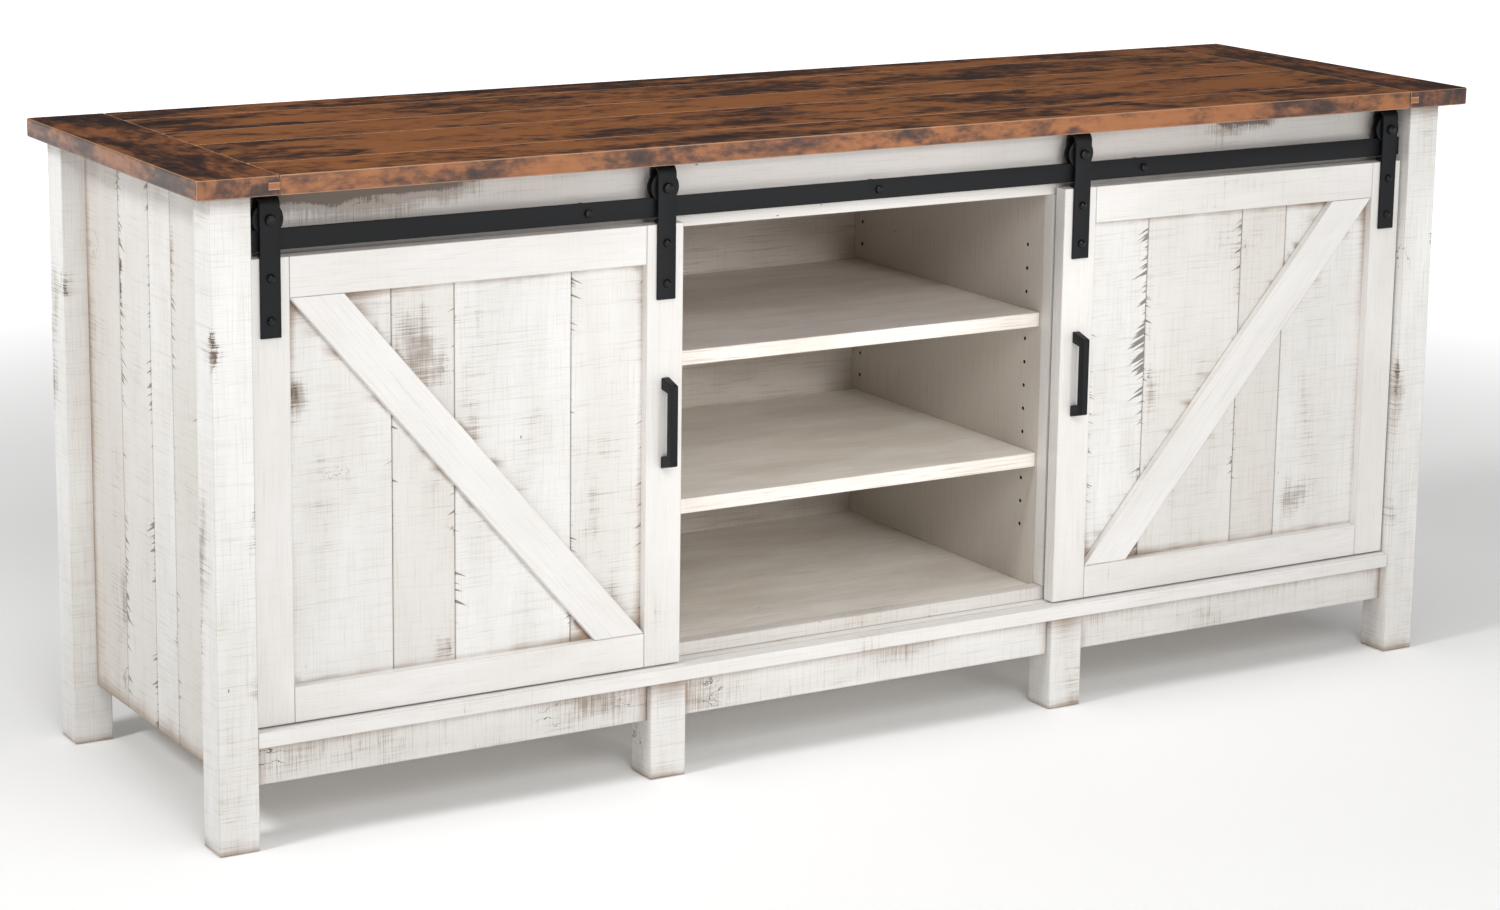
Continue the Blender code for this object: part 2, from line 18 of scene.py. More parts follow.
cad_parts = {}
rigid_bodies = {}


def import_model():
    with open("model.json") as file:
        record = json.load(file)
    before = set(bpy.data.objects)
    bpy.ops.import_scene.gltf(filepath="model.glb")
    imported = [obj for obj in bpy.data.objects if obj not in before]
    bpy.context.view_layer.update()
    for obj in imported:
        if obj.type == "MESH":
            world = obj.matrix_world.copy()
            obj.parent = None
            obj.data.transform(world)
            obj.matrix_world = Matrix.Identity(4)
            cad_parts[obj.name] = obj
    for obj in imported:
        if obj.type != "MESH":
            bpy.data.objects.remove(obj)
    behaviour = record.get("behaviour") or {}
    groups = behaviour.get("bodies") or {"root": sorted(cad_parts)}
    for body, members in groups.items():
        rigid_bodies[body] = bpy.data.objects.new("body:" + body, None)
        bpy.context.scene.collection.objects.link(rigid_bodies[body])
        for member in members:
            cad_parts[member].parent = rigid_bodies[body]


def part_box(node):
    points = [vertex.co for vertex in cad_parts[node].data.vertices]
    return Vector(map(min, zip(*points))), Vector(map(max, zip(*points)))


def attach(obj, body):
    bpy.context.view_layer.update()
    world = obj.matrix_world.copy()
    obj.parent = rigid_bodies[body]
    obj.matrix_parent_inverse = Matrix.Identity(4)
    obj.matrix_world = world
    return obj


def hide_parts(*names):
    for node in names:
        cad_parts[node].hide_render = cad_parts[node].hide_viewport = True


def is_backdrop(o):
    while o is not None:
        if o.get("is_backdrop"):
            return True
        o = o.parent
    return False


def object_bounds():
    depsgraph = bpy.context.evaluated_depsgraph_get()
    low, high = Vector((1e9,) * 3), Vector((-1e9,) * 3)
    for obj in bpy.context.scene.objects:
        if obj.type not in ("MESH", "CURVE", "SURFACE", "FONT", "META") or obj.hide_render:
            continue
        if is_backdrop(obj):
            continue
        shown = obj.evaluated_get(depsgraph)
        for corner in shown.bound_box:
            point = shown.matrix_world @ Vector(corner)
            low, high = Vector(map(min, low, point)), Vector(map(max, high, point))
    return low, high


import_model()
CAD_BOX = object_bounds()
scene = bpy.context.scene
for item in list(bpy.data.objects):
    if item.type in {"LIGHT", "CAMERA"}:
        bpy.data.objects.remove(item, do_unlink=True)


# %% [markdown]
# ## Two small tools for materials
#
# Colours are easiest to pick as sRGB hex codes, but shaders work in linear
# light, so one function converts them. A second function adds a shader node,
# sets it up and joins it to whatever feeds it.


# %% Colour and node tools
def linear(code):
    """Linear colour of an sRGB hex code.

    Each channel c between 0 and 1 becomes c / 12.92 up to 0.04045, and
    ((c + 0.055) / 1.055) to the power 2.4 above that.
    """
    channels = np.array([int(code[i : i + 2], 16) for i in (0, 2, 4)]) / 255.0
    low = channels / 12.92
    high = ((channels + 0.055) / 1.055) ** 2.4
    return (*np.where(channels <= 0.04045, low, high).tolist(), 1.0)


def add(tree, kind, inputs=None, output=0, **settings):
    """Add a node, set it up, feed its inputs and give back one output."""
    made = tree.nodes.new("ShaderNode" + kind)
    for name, value in settings.items():
        setattr(made, name, value)
    for name, value in (inputs or {}).items():
        if isinstance(value, bpy.types.NodeSocket):
            tree.links.new(value, made.inputs[name])
        else:
            made.inputs[name].default_value = value
    return made.outputs[output]


EASED = {"interpolation_type": "SMOOTHSTEP"}
COLOUR = {"output": 2, "data_type": "RGBA"}


def new_material(name):
    """Make an empty material and give back it, its tree and its shader."""
    material = bpy.data.materials.new(name)
    material.use_nodes = True
    tree = material.node_tree
    return material, tree, tree.nodes["Principled BSDF"]


# %% [markdown]
# ## Distressed cream paint
#
# The paint is a warm white over brown wood. Four things break it up, each in
# the board's own coordinates, in metres, so the pattern follows the grain:
# faint saw lines across the board, dark ticks that start at a joint and taper
# inwards, patches along the long edges where the paint is rubbed through, and
# a brown glaze in corners that also paints the shade there and under parts.
# The "side" attribute holds the distance to the board's long edges.


# %% Painted wood
def painted_wood(name, paint, mottle, wear, saw, streak, glaze_and_shade_colour="86684c"):
    """Cream paint, rubbed through in places, with brown glaze and painted shade in the corners.

    The rubbed mask is a smooth step of (patch noise - side distance / reach).
    A tick is where the side distance is less than a length that varies fast
    along the board and is zero along most of it. A crack is where a slow
    noise passes through one half, kept only where a second noise is high.
    """
    material, tree, shader = new_material(name)
    grain = add(tree, "Attribute", output=1, attribute_name="grain")
    side = add(tree, "Attribute", output=2, attribute_name="side")
    glaze = add(tree, "Attribute", output=2, attribute_name="glaze")
    tone = add(tree, "Attribute", output=2, attribute_name="tone")
    worn = add(tree, "Attribute", output=2, attribute_name="worn")
    torn = add(tree, "Attribute", output=2, attribute_name="torn")

    cloud_at = add(tree, "VectorMath", {0: grain, 1: (5.0, 16.0, 16.0)}, operation="MULTIPLY")
    cloud = add(tree, "TexNoise", {"Vector": cloud_at, "Scale": 1.0, "Detail": 3.0, "Roughness": 0.55})
    fibre_at = add(tree, "VectorMath", {0: grain, 1: (14.0, 620.0, 620.0)}, operation="MULTIPLY")
    fibre = add(tree, "TexNoise", {"Vector": fibre_at, "Scale": 1.0, "Detail": 4.0, "Roughness": 0.6})
    saw_at = add(tree, "VectorMath", {0: grain, 1: (520.0, 14.0, 14.0)}, operation="MULTIPLY")
    lines = add(
        tree, "TexNoise", {"Vector": saw_at, "Scale": 1.0, "Detail": 3.0, "Roughness": 0.65, "Distortion": 0.4}
    )
    patch_at = add(tree, "VectorMath", {0: grain, 1: (11.0, 26.0, 26.0)}, operation="MULTIPLY")
    patch = add(
        tree, "TexNoise", {"Vector": patch_at, "Scale": 1.0, "Detail": 5.0, "Roughness": 0.68, "Distortion": 0.3}
    )
    tilt = add(tree, "CombineXYZ", {0: add(tree, "Math", {0: side, 1: 0.45}, operation="MULTIPLY")})
    leaned = add(tree, "VectorMath", {0: grain, 1: tilt}, operation="ADD")
    tick_at = add(tree, "VectorMath", {0: leaned, 1: (260.0, 8.0, 8.0)}, operation="MULTIPLY")
    tick = add(tree, "TexNoise", {"Vector": tick_at, "Scale": 1.0, "Detail": 2.0, "Roughness": 0.5})
    group_at = add(tree, "VectorMath", {0: grain, 1: (9.0, 7.0, 7.0)}, operation="MULTIPLY")
    group = add(tree, "TexNoise", {"Vector": group_at, "Scale": 1.0, "Detail": 1.0, "Roughness": 0.4})

    # rubbed patches hug the long edges
    reach = add(tree, "Math", {0: side, 1: 7.5}, operation="MULTIPLY")
    near = add(tree, "Math", {0: patch, 1: reach}, operation="SUBTRACT")
    ragged = add(tree, "Math", {0: lines, 1: 0.32, 2: near}, operation="MULTIPLY_ADD")
    allowed = add(tree, "Math", {0: worn, 1: 0.12, 2: ragged}, operation="MULTIPLY_ADD")
    rubbed = add(
        tree, "MapRange", {"Value": allowed, "From Min": 0.86, "From Max": 0.97, "To Max": wear}, **EASED
    )

    # scuffs: paint worn off the high saw lines over a whole area
    area = add(tree, "Math", {0: worn, 1: 0.16, 2: cloud}, operation="MULTIPLY_ADD")
    scored = add(tree, "Math", {0: lines, 1: 0.60, 2: area}, operation="MULTIPLY_ADD")
    frayed = add(tree, "Math", {0: patch, 1: 0.45, 2: scored}, operation="MULTIPLY_ADD")
    crossed = add(tree, "Math", {0: fibre, 1: 0.30, 2: frayed}, operation="MULTIPLY_ADD")
    scuff = add(
        tree,
        "MapRange",
        {"Value": crossed, "From Min": 1.36, "From Max": 1.66, "To Max": 0.72 * wear},
        **EASED,
    )

    # ticks start at the joint, in loose groups, and lean a little
    count = add(tree, "Math", {0: group, 1: 0.60, 2: -0.20}, operation="MULTIPLY_ADD")
    level = add(tree, "Math", {0: tick, 1: count}, operation="ADD")
    torn_by = add(tree, "Math", {0: torn, 1: 0.10, 2: level}, operation="MULTIPLY_ADD")
    length = add(tree, "Math", {0: torn_by, 1: 0.76}, operation="SUBTRACT")
    scaled = add(tree, "Math", {0: length, 1: 0.10}, operation="MULTIPLY")
    inside = add(tree, "Math", {0: scaled, 1: side}, operation="SUBTRACT")
    notch = add(
        tree, "MapRange", {"Value": inside, "From Min": -0.0004, "From Max": 0.0060, "To Max": 0.80}, **EASED
    )

    # worm holes and hairline cracks, both rare
    hole_at = add(tree, "VectorMath", {0: grain, 1: (9.0, 21.0, 21.0)}, operation="MULTIPLY")
    hole = add(tree, "TexVoronoi", {"Vector": hole_at, "Scale": 1.0}, output=0)
    dot = add(
        tree, "MapRange", {"Value": hole, "From Min": 0.012, "From Max": 0.026, "To Min": 0.75, "To Max": 0.0}
    )
    wander_at = add(tree, "VectorMath", {0: grain, 1: (13.0, 30.0, 30.0)}, operation="MULTIPLY")
    wander = add(tree, "TexNoise", {"Vector": wander_at, "Scale": 1.0, "Detail": 4.0, "Roughness": 0.6})
    off_half = add(tree, "Math", {0: wander, 1: 0.5}, operation="SUBTRACT")
    away = add(tree, "Math", {0: off_half}, operation="ABSOLUTE")
    line = add(
        tree, "MapRange", {"Value": away, "From Min": 0.003, "From Max": 0.010, "To Min": 1.0, "To Max": 0.0}
    )
    cracked = 0.9 if wear > 0.9 else 0.0
    rare = add(tree, "MapRange", {"Value": group, "From Min": 0.68, "From Max": 0.73, "To Max": cracked})
    crack = add(tree, "Math", {0: line, 1: rare}, operation="MULTIPLY")
    mark = add(tree, "Math", {0: dot, 1: crack}, operation="MAXIMUM")
    # painted shade: glaze values above 1.3 are set only inside the pin holes, and turn them near black over their
    # bare wood
    hole_shade = add(tree, "MapRange", {"Value": glaze, "From Min": 1.3, "From Max": 2.2})
    flaw_and_hole_shade = add(tree, "Math", {0: mark, 1: hole_shade}, operation="MAXIMUM")

    # brown glaze, and painted shade in corners and under parts, gather where the glaze attribute is high and the
    # wood is rough
    soaked = add(tree, "Math", {0: lines, 1: 0.5, 2: glaze}, operation="MULTIPLY_ADD")
    soft = add(tree, "Math", {0: cloud, 1: 0.9, 2: soaked}, operation="MULTIPLY_ADD")
    glaze_and_shade_film = add(tree, "MapRange", {"Value": soft, "From Min": 0.88, "From Max": 1.90, "To Max": 0.85}, **EASED)
    arris = add(
        tree,
        "MapRange",
        {"Value": side, "From Min": 0.0, "From Max": 0.0018, "To Min": 0.30 * wear, "To Max": 0.0},
        **EASED,
    )

    saw_line = add(
        tree, "MapRange", {"Value": lines, "From Min": 0.50, "From Max": 0.72, "To Max": saw}, **EASED
    )
    saw_here = add(tree, "Math", {0: saw_line, 1: cloud}, operation="MULTIPLY")
    fibre_line = add(
        tree, "MapRange", {"Value": fibre, "From Min": 0.50, "From Max": 0.74, "To Max": streak}, **EASED
    )

    share = add(tree, "MapRange", {"Value": cloud, "From Min": 0.25, "From Max": 0.75, "To Max": 0.85})
    cool = add(tree, "Mix", {0: share, 6: linear(paint), 7: linear(mottle)}, **COLOUR)
    board = add(tree, "Mix", {0: tone, 6: cool, 7: linear("cfc8bf")}, **COLOUR)
    lined = add(tree, "Mix", {0: fibre_line, 6: board, 7: linear("b7a48d")}, **COLOUR)
    sawn = add(tree, "Mix", {0: saw_here, 6: lined, 7: linear("9a8c7c")}, **COLOUR)
    scuffed = add(tree, "Mix", {0: scuff, 6: sawn, 7: linear("7d6a59")}, **COLOUR)
    glazed_and_shaded = add(tree, "Mix", {0: glaze_and_shade_film, 6: scuffed, 7: linear(glaze_and_shade_colour)}, **COLOUR)
    edged = add(tree, "Mix", {0: arris, 6: glazed_and_shaded, 7: linear("6d5847")}, **COLOUR)
    bare = add(tree, "Mix", {0: fibre, 6: linear("33271f"), 7: linear("7f6b58")}, **COLOUR)
    under = add(tree, "Mix", {0: lines, 6: bare, 7: linear("6f6357")}, **COLOUR)
    shown = add(tree, "Mix", {0: rubbed, 6: edged, 7: under}, **COLOUR)
    ticked = add(tree, "Mix", {0: notch, 6: shown, 7: linear("5b4b3f")}, **COLOUR)
    final = add(tree, "Mix", {0: flaw_and_hole_shade, 6: ticked, 7: linear("33291f")}, **COLOUR)
    tree.links.new(final, shader.inputs["Base Color"])

    rough = add(tree, "MapRange", {"Value": rubbed, "To Min": 0.42, "To Max": 0.72})
    tree.links.new(rough, shader.inputs["Roughness"])
    shader.inputs["IOR"].default_value = 1.5

    depth = add(tree, "Math", {0: lines, 1: 0.5, 2: fibre}, operation="MULTIPLY_ADD")
    lower = add(tree, "Math", {0: rubbed, 1: -0.8, 2: depth}, operation="MULTIPLY_ADD")
    holed = add(tree, "Math", {0: flaw_and_hole_shade, 1: -1.5, 2: lower}, operation="MULTIPLY_ADD")
    cut = add(tree, "Math", {0: notch, 1: -1.0, 2: holed}, operation="MULTIPLY_ADD")
    relief = add(tree, "Bump", {"Height": cut, "Strength": 0.35, "Distance": 0.0005})
    tree.links.new(relief, shader.inputs["Normal"])
    return material


PAINT_SMOOTH = painted_wood("painted_maple", "ebe9e7", "dcd9d4", wear=0.8, saw=0.10, streak=0.26)
PAINT_ROUGH = painted_wood("painted_rough_sawn_maple", "ecebe9", "d8d5d0", wear=1.0, saw=0.46, streak=0.32)
# painted light: the inside paint is a lighter cream than the outside, so that the shaded shelves and floor of the
# bay look lit; its streaks are real
PAINT_INSIDE_BRIGHTENED = painted_wood("glazed_maple_brightened", "f8f4ee", "d9d0c4", wear=0.3, saw=0.10, streak=0.55)
PAINT_BACK = painted_wood("glazed_rough_sawn_boards", "eee7df", "c0b5aa", wear=0.8, saw=0.30, streak=0.9)
print("paint materials made")

# %% [markdown]
# ## Stained top
#
# The top is maple with a heavy red-brown stain that takes unevenly: broad
# dark clouds drawn out along the grain, over a lighter orange-brown. A satin
# lacquer covers it. The same distances as before paint a highlight on the
# arrises, for the lacquer's glint, which shows as light lines between the planks.


# %% Stained wood
def stained_wood(name, shade):
    """Blotchy dark stain under satin lacquer.

    The dark mask is a smooth step of a broad noise, stretched about twice
    along the grain, plus a share of a finer one that frays its edges.
    """
    material, tree, shader = new_material(name)
    grain = add(tree, "Attribute", output=1, attribute_name="grain")
    side = add(tree, "Attribute", output=2, attribute_name="side")
    tone = add(tree, "Attribute", output=2, attribute_name="tone")

    broad_at = add(tree, "VectorMath", {0: grain, 1: (6.5, 15.0, 15.0)}, operation="MULTIPLY")
    broad = add(
        tree, "TexNoise", {"Vector": broad_at, "Scale": 1.0, "Detail": 4.0, "Roughness": 0.6, "Distortion": 0.5}
    )
    fray_at = add(tree, "VectorMath", {0: grain, 1: (38.0, 80.0, 80.0)}, operation="MULTIPLY")
    fray = add(tree, "TexNoise", {"Vector": fray_at, "Scale": 1.0, "Detail": 5.0, "Roughness": 0.65})
    fibre_at = add(tree, "VectorMath", {0: grain, 1: (10.0, 480.0, 480.0)}, operation="MULTIPLY")
    fibre = add(tree, "TexNoise", {"Vector": fibre_at, "Scale": 1.0, "Detail": 5.0, "Roughness": 0.6})
    mark_at = add(tree, "VectorMath", {0: grain, 1: (300.0, 30.0, 30.0)}, operation="MULTIPLY")
    mark = add(tree, "TexNoise", {"Vector": mark_at, "Scale": 1.0, "Detail": 2.0, "Roughness": 0.6})

    spread = add(tree, "Math", {0: fray, 1: 0.60, 2: broad}, operation="MULTIPLY_ADD")
    heavy = add(tree, "Math", {0: tone, 1: 0.16, 2: spread}, operation="MULTIPLY_ADD")
    dark = add(tree, "MapRange", {"Value": heavy, "From Min": 0.77, "From Max": 1.03, "To Max": 1.0}, **EASED)
    black = add(tree, "MapRange", {"Value": heavy, "From Min": 0.97, "From Max": 1.14, "To Max": 0.8}, **EASED)
    light = add(tree, "Mix", {0: fibre, 6: linear("844c29"), 7: linear("b77842")}, **COLOUR)
    warm = add(tree, "Mix", {0: fray, 6: light, 7: linear(shade)}, **COLOUR)
    stain = add(tree, "Mix", {0: dark, 6: warm, 7: linear("45281c")}, **COLOUR)
    deep = add(tree, "Mix", {0: black, 6: stain, 7: linear("231512")}, **COLOUR)
    # painted highlight: the colour goes light brown within 2 mm of a long edge, for the glint of the lacquer on the
    # arrises
    arris = add(
        tree,
        "MapRange",
        {"Value": side, "From Min": 0.0005, "From Max": 0.0019, "To Min": 0.65, "To Max": 0.0},
        **EASED,
    )
    arris_highlight = add(tree, "Mix", {0: arris, 6: deep, 7: linear("b8977c")}, **COLOUR)
    tree.links.new(arris_highlight, shader.inputs["Base Color"])

    rough = add(tree, "MapRange", {"Value": fray, "To Min": 0.34, "To Max": 0.52})
    tree.links.new(rough, shader.inputs["Roughness"])
    shader.inputs["IOR"].default_value = 1.5
    shader.inputs["Coat Weight"].default_value = 0.12
    shader.inputs["Coat Roughness"].default_value = 0.22
    height = add(tree, "Math", {0: mark, 1: 0.6, 2: fibre}, operation="MULTIPLY_ADD")
    relief = add(tree, "Bump", {"Height": height, "Strength": 0.25, "Distance": 0.0004})
    tree.links.new(relief, shader.inputs["Normal"])
    return material


STAIN = stained_wood("stained_maple", "935729")
STAIN_END = stained_wood("stained_maple_ends", "7a452a")
print("stained materials made")

# %% [markdown]
# ## Powder-coated steel, blackened screws and nylon
#
# The hardware is flat steel bar with a satin black powder coat. Powder coat
# has a fine orange-peel surface, so a noise a millimetre across drives a
# little bump and roughness. The screw heads are smoother. The shade in their
# sockets is painted: a near-black material on a very shallow cup.


# %% Hardware materials
def coated_steel(name, colour, roughness, peel):
    """Satin coating with orange peel, in object coordinates in metres."""
    material, tree, shader = new_material(name)
    place = add(tree, "TexCoord", output=3)
    peel_noise = add(tree, "TexNoise", {"Vector": place, "Scale": 900.0, "Detail": 2.0, "Roughness": 0.5})
    smudge = add(tree, "TexNoise", {"Vector": place, "Scale": 28.0, "Detail": 4.0, "Roughness": 0.6})
    tint = add(tree, "Mix", {0: smudge, 6: linear(colour), 7: linear("17191c")}, **COLOUR)
    tree.links.new(tint, shader.inputs["Base Color"])
    rough = add(tree, "MapRange", {"Value": smudge, "To Min": roughness - 0.07, "To Max": roughness + 0.09})
    tree.links.new(rough, shader.inputs["Roughness"])
    relief = add(tree, "Bump", {"Height": peel_noise, "Strength": peel, "Distance": 0.0003})
    tree.links.new(relief, shader.inputs["Normal"])
    shader.inputs["IOR"].default_value = 1.5
    shader.inputs["Specular IOR Level"].default_value = 0.25
    return material


BLACK = coated_steel("powder_coated_steel", "0c0d0f", 0.52, 0.25)
OXIDE = coated_steel("black_oxide_steel", "121214", 0.22, 0.05)
# painted shade: near black for the hexagon sockets, which are cups only 0.2 mm deep
SOCKET_SHADE = coated_steel("painted_socket_shade", "050505", 0.60, 0.05)
NYLON = coated_steel("black_nylon", "1b1b1c", 0.55, 0.1)
print("hardware materials made")


# %% [markdown]
# ## Boards
#
# Every board is a block whose corners are rounded by a millimetre or so, as
# sanding leaves them. It starts as a lattice on the six faces, with lines
# close together near the corners. Each point is then pulled in to lie at one
# radius from a smaller inner block. Because the block is known, the distance
# to its long edges is exact, and is kept for the paint.


# %% Board tools
def spaced(low, high, radius, step):
    """Lattice lines from low to high, closer together near both ends."""
    span = high - low
    near = [0.0, 0.35 * radius, radius]
    near += [d for d in (0.003, 0.008, 0.02) if radius * 1.2 < d < span * 0.4]
    inner = span - 2.0 * near[-1]
    count = max(1, int(math.ceil(inner / step)))
    middle = np.linspace(low + near[-1], high - near[-1], count + 1)
    return np.concatenate([low + np.array(near[:-1]), middle, high - np.array(near[:-1])[::-1]])


def block(low, high, grain_axis, seed, radius=0.0009, tone=0.0, worn=0.0, torn=-3.0, glaze=None, step=0.05):
    """One rounded board, as arrays.

    A lattice point p goes to q + radius * (p - q) / |p - q|, where q is p
    clamped to the block shrunk by the radius; (p - q) / |p - q| is also its
    normal. The side distance is the larger of the distances to the two long
    faces' planes, and the smaller of them on an end face.
    """
    low, high = np.array(low, float), np.array(high, float)
    lines = [spaced(low[a], high[a], radius, step if a == grain_axis else 0.03) for a in range(3)]
    sizes = [len(line) for line in lines]
    points, quads, offset = [], [], 0
    for a in range(3):
        b, c = (a + 1) % 3, (a + 2) % 3
        for end in (0, 1):
            grid_b, grid_c = np.meshgrid(np.arange(sizes[b]), np.arange(sizes[c]), indexing="ij")
            index = np.zeros(grid_b.shape + (3,), int)
            index[..., a] = end * (sizes[a] - 1)
            index[..., b], index[..., c] = grid_b, grid_c
            number = np.arange(grid_b.size).reshape(grid_b.shape) + offset
            quad = np.stack([number[:-1, :-1], number[1:, :-1], number[1:, 1:], number[:-1, 1:]], -1)
            quad = quad.reshape(-1, 4)
            quads.append(quad if end else quad[:, ::-1])
            points.append(index.reshape(-1, 3))
            offset += grid_b.size
    index = np.concatenate(points)
    key = (index[:, 0] * sizes[1] + index[:, 1]) * sizes[2] + index[:, 2]
    first, inverse = np.unique(key, return_index=True, return_inverse=True)[1:]
    index = index[first]
    faces = inverse.reshape(-1)[np.concatenate(quads)]
    place = np.stack([lines[a][index[:, a]] for a in range(3)], -1)

    inner = np.clip(place, low + radius, high - radius)
    away = place - inner
    normal = away / np.linalg.norm(away, axis=1, keepdims=True)
    distance = np.minimum(place - low, high - place)
    b, c = (grain_axis + 1) % 3, (grain_axis + 2) % 3
    on_end = distance[:, grain_axis] < 1e-7
    side = np.maximum(distance[:, b], distance[:, c])
    side = np.where(on_end, np.minimum(distance[:, b], distance[:, c]), side)
    grain = np.stack([place[:, grain_axis], place[:, b], place[:, c]], -1)
    grain = grain + np.array([3.17, 1.31, 0.77]) * seed
    here = np.zeros(len(place)) if glaze is None else glaze(place)
    return {
        "place": inner + radius * normal,
        "normal": normal,
        "faces": faces,
        "grain": grain,
        "side": side,
        "glaze": here,
        "tone": np.full(len(place), tone),
        "worn": worn(place) if callable(worn) else np.full(len(place), worn),
        "torn": np.full(len(place), torn),
    }


def assemble(name, parts, material):
    """Join board arrays into one mesh, with their attributes and normals."""
    starts = np.cumsum([0] + [len(part["place"]) for part in parts[:-1]])
    place = np.concatenate([part["place"] for part in parts])
    faces = np.concatenate([part["faces"] + start for part, start in zip(parts, starts)])
    mesh = bpy.data.meshes.new(name)
    mesh.from_pydata(place.tolist(), [], faces.tolist())
    mesh.shade_smooth()
    grain = mesh.attributes.new("grain", "FLOAT_VECTOR", "POINT")
    grain.data.foreach_set("vector", np.concatenate([part["grain"] for part in parts]).ravel())
    for label in ("side", "glaze", "tone", "worn", "torn"):
        layer = mesh.attributes.new(label, "FLOAT", "POINT")
        layer.data.foreach_set("value", np.concatenate([part[label] for part in parts]))
    mesh.normals_split_custom_set_from_vertices(np.concatenate([part["normal"] for part in parts]).tolist())
    mesh.materials.append(material)
    piece = bpy.data.objects.new(name, mesh)
    scene.collection.objects.link(piece)
    return piece


def settle(piece, body, slot, *nodes):
    """Fix a finished piece to its body, in place of the CAD nodes named."""
    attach(piece, body)
    if nodes:
        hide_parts(*nodes)
    return piece


def limits(node):
    """A CAD node's box as two numpy corners."""
    low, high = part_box(node)
    return np.array(low), np.array(high)


def falling(*pairs):
    """Glaze and painted shade that is 1 on each given plane and fades away from it.

    Each pair is an axis, a place and a reach; the glaze is the largest of
    exp(-distance / reach).
    """

    def glaze(place):
        return np.max([np.exp(-np.abs(place[:, axis] - at) / reach) for axis, at, reach in pairs], axis=0)

    return glaze


def spots(base, *marks):
    """Wear that rises from a base value at some places.

    Each mark is a place (x, y, z), its reach along each axis and a height;
    it adds height * exp(-sum of ((p - place) / reach) squared).
    """

    def worn(place):
        total = np.full(len(place), float(base))
        for at, reach, height in marks:
            away = (place - np.array(at)) / np.array(reach)
            total = total + height * np.exp(-(away**2).sum(axis=1))
        return total

    return worn


# %% [markdown]
# ## The top
#
# Five planks run the length of the top into a breadboard at each end, which
# keeps them flat. Each plank's tongue passes through the breadboard and shows
# at its front and back edge as a small rectangle.

# %% Top
under_top = limits("top_plank_1")[0][2]
seam = limits("breadboard_right")[0][0]
tongue_length = 0.0145
tongue_z = under_top + np.array([0.0072, 0.0159])
for number in range(1, 6):
    low, high = limits(f"top_plank_{number}")
    low[0], high[0] = -seam + 0.0003, seam - 0.0003
    tone = (0.55, 0.35, 0.10, 0.60, 0.85)[number - 1]
    plank = block(low, high, 0, 11.0 + number * 1.7, radius=0.0022, tone=tone)
    piece = assemble(f"top_plank_{number}_wood", [plank], STAIN)
    settle(piece, "cabinet", "stained_wood", f"top_plank_{number}")
for name, end in (("breadboard_left", -1.0), ("breadboard_right", 1.0)):
    low, high = limits(name)
    board = block(low, high, 1, 31.0 + end * 4.0, radius=0.0026, tone=1.0 if end < 0 else 0.8)
    tips = []
    for edge, seed in ((low[1], 41.0), (high[1], 43.0)):
        x = sorted((end * seam, end * (seam + tongue_length)))
        corner = np.array([x[0], edge - 0.0003, tongue_z[0]])
        tips.append(block(corner, corner + (tongue_length, 0.0006, 0.0087), 0, seed, radius=0.0002, tone=0.1))
    piece = assemble(name + "_wood", [board], STAIN_END)
    settle(piece, "cabinet", "stained_wood", name)
    piece = assemble(name + "_tongue_ends", tips, STAIN)
    settle(piece, "cabinet", "stained_wood")
print("top:", 5, "planks and 2 breadboards")

# %% [markdown]
# ## Posts, legs and side panels
#
# The posts are about 50 mm thick, and each side panel is drawn as five upright
# boards set into them. Every side board takes its own seed, so no two match.

# %% Posts, legs and sides
for count, node in enumerate(
    ("post_front_left", "post_front_right", "post_back_left", "post_back_right")
):
    low, high = limits(node)
    # glaze and painted shade: darker under the top and at the floor
    glaze = falling((2, high[2], 0.02), (2, 0.0, 0.012))
    inner = high[0] if low[0] < 0 else low[0]
    outer = low[0] if low[0] < 0 else high[0]
    worn = spots(
        -0.2,
        ((inner, low[1], 0.395), (0.022, 0.02, 0.075), 2.3),
        ((outer, low[1], 0.60), (0.024, 0.05, 0.055), 1.9),
        ((inner, low[1], 0.748), (0.045, 0.02, 0.006), 1.8),
        ((outer, high[1], 0.33 + 0.07 * count), (0.03, 0.03, 0.10), 2.2),
        ((inner, low[1], 0.20), (0.02, 0.03, 0.03), 1.6),
    )
    post = block(low, high, 2, 51.0 + count, radius=0.0018, worn=worn, glaze=glaze, step=0.012)
    settle(assemble(node + "_wood", [post], PAINT_ROUGH), "cabinet", "painted_wood", node)
for count, node in enumerate(("leg_front_left", "leg_front_right", "leg_back_left", "leg_back_right")):
    low, high = limits(node)
    # glaze and painted shade: darker under the top and at the floor
    glaze = falling((2, high[2], 0.02), (2, 0.0, 0.01))
    leg = block(low, high, 2, 61.0 + count, radius=0.0018, worn=0.2, glaze=glaze)
    settle(assemble(node + "_wood", [leg], PAINT_ROUGH), "cabinet", "painted_wood", node)

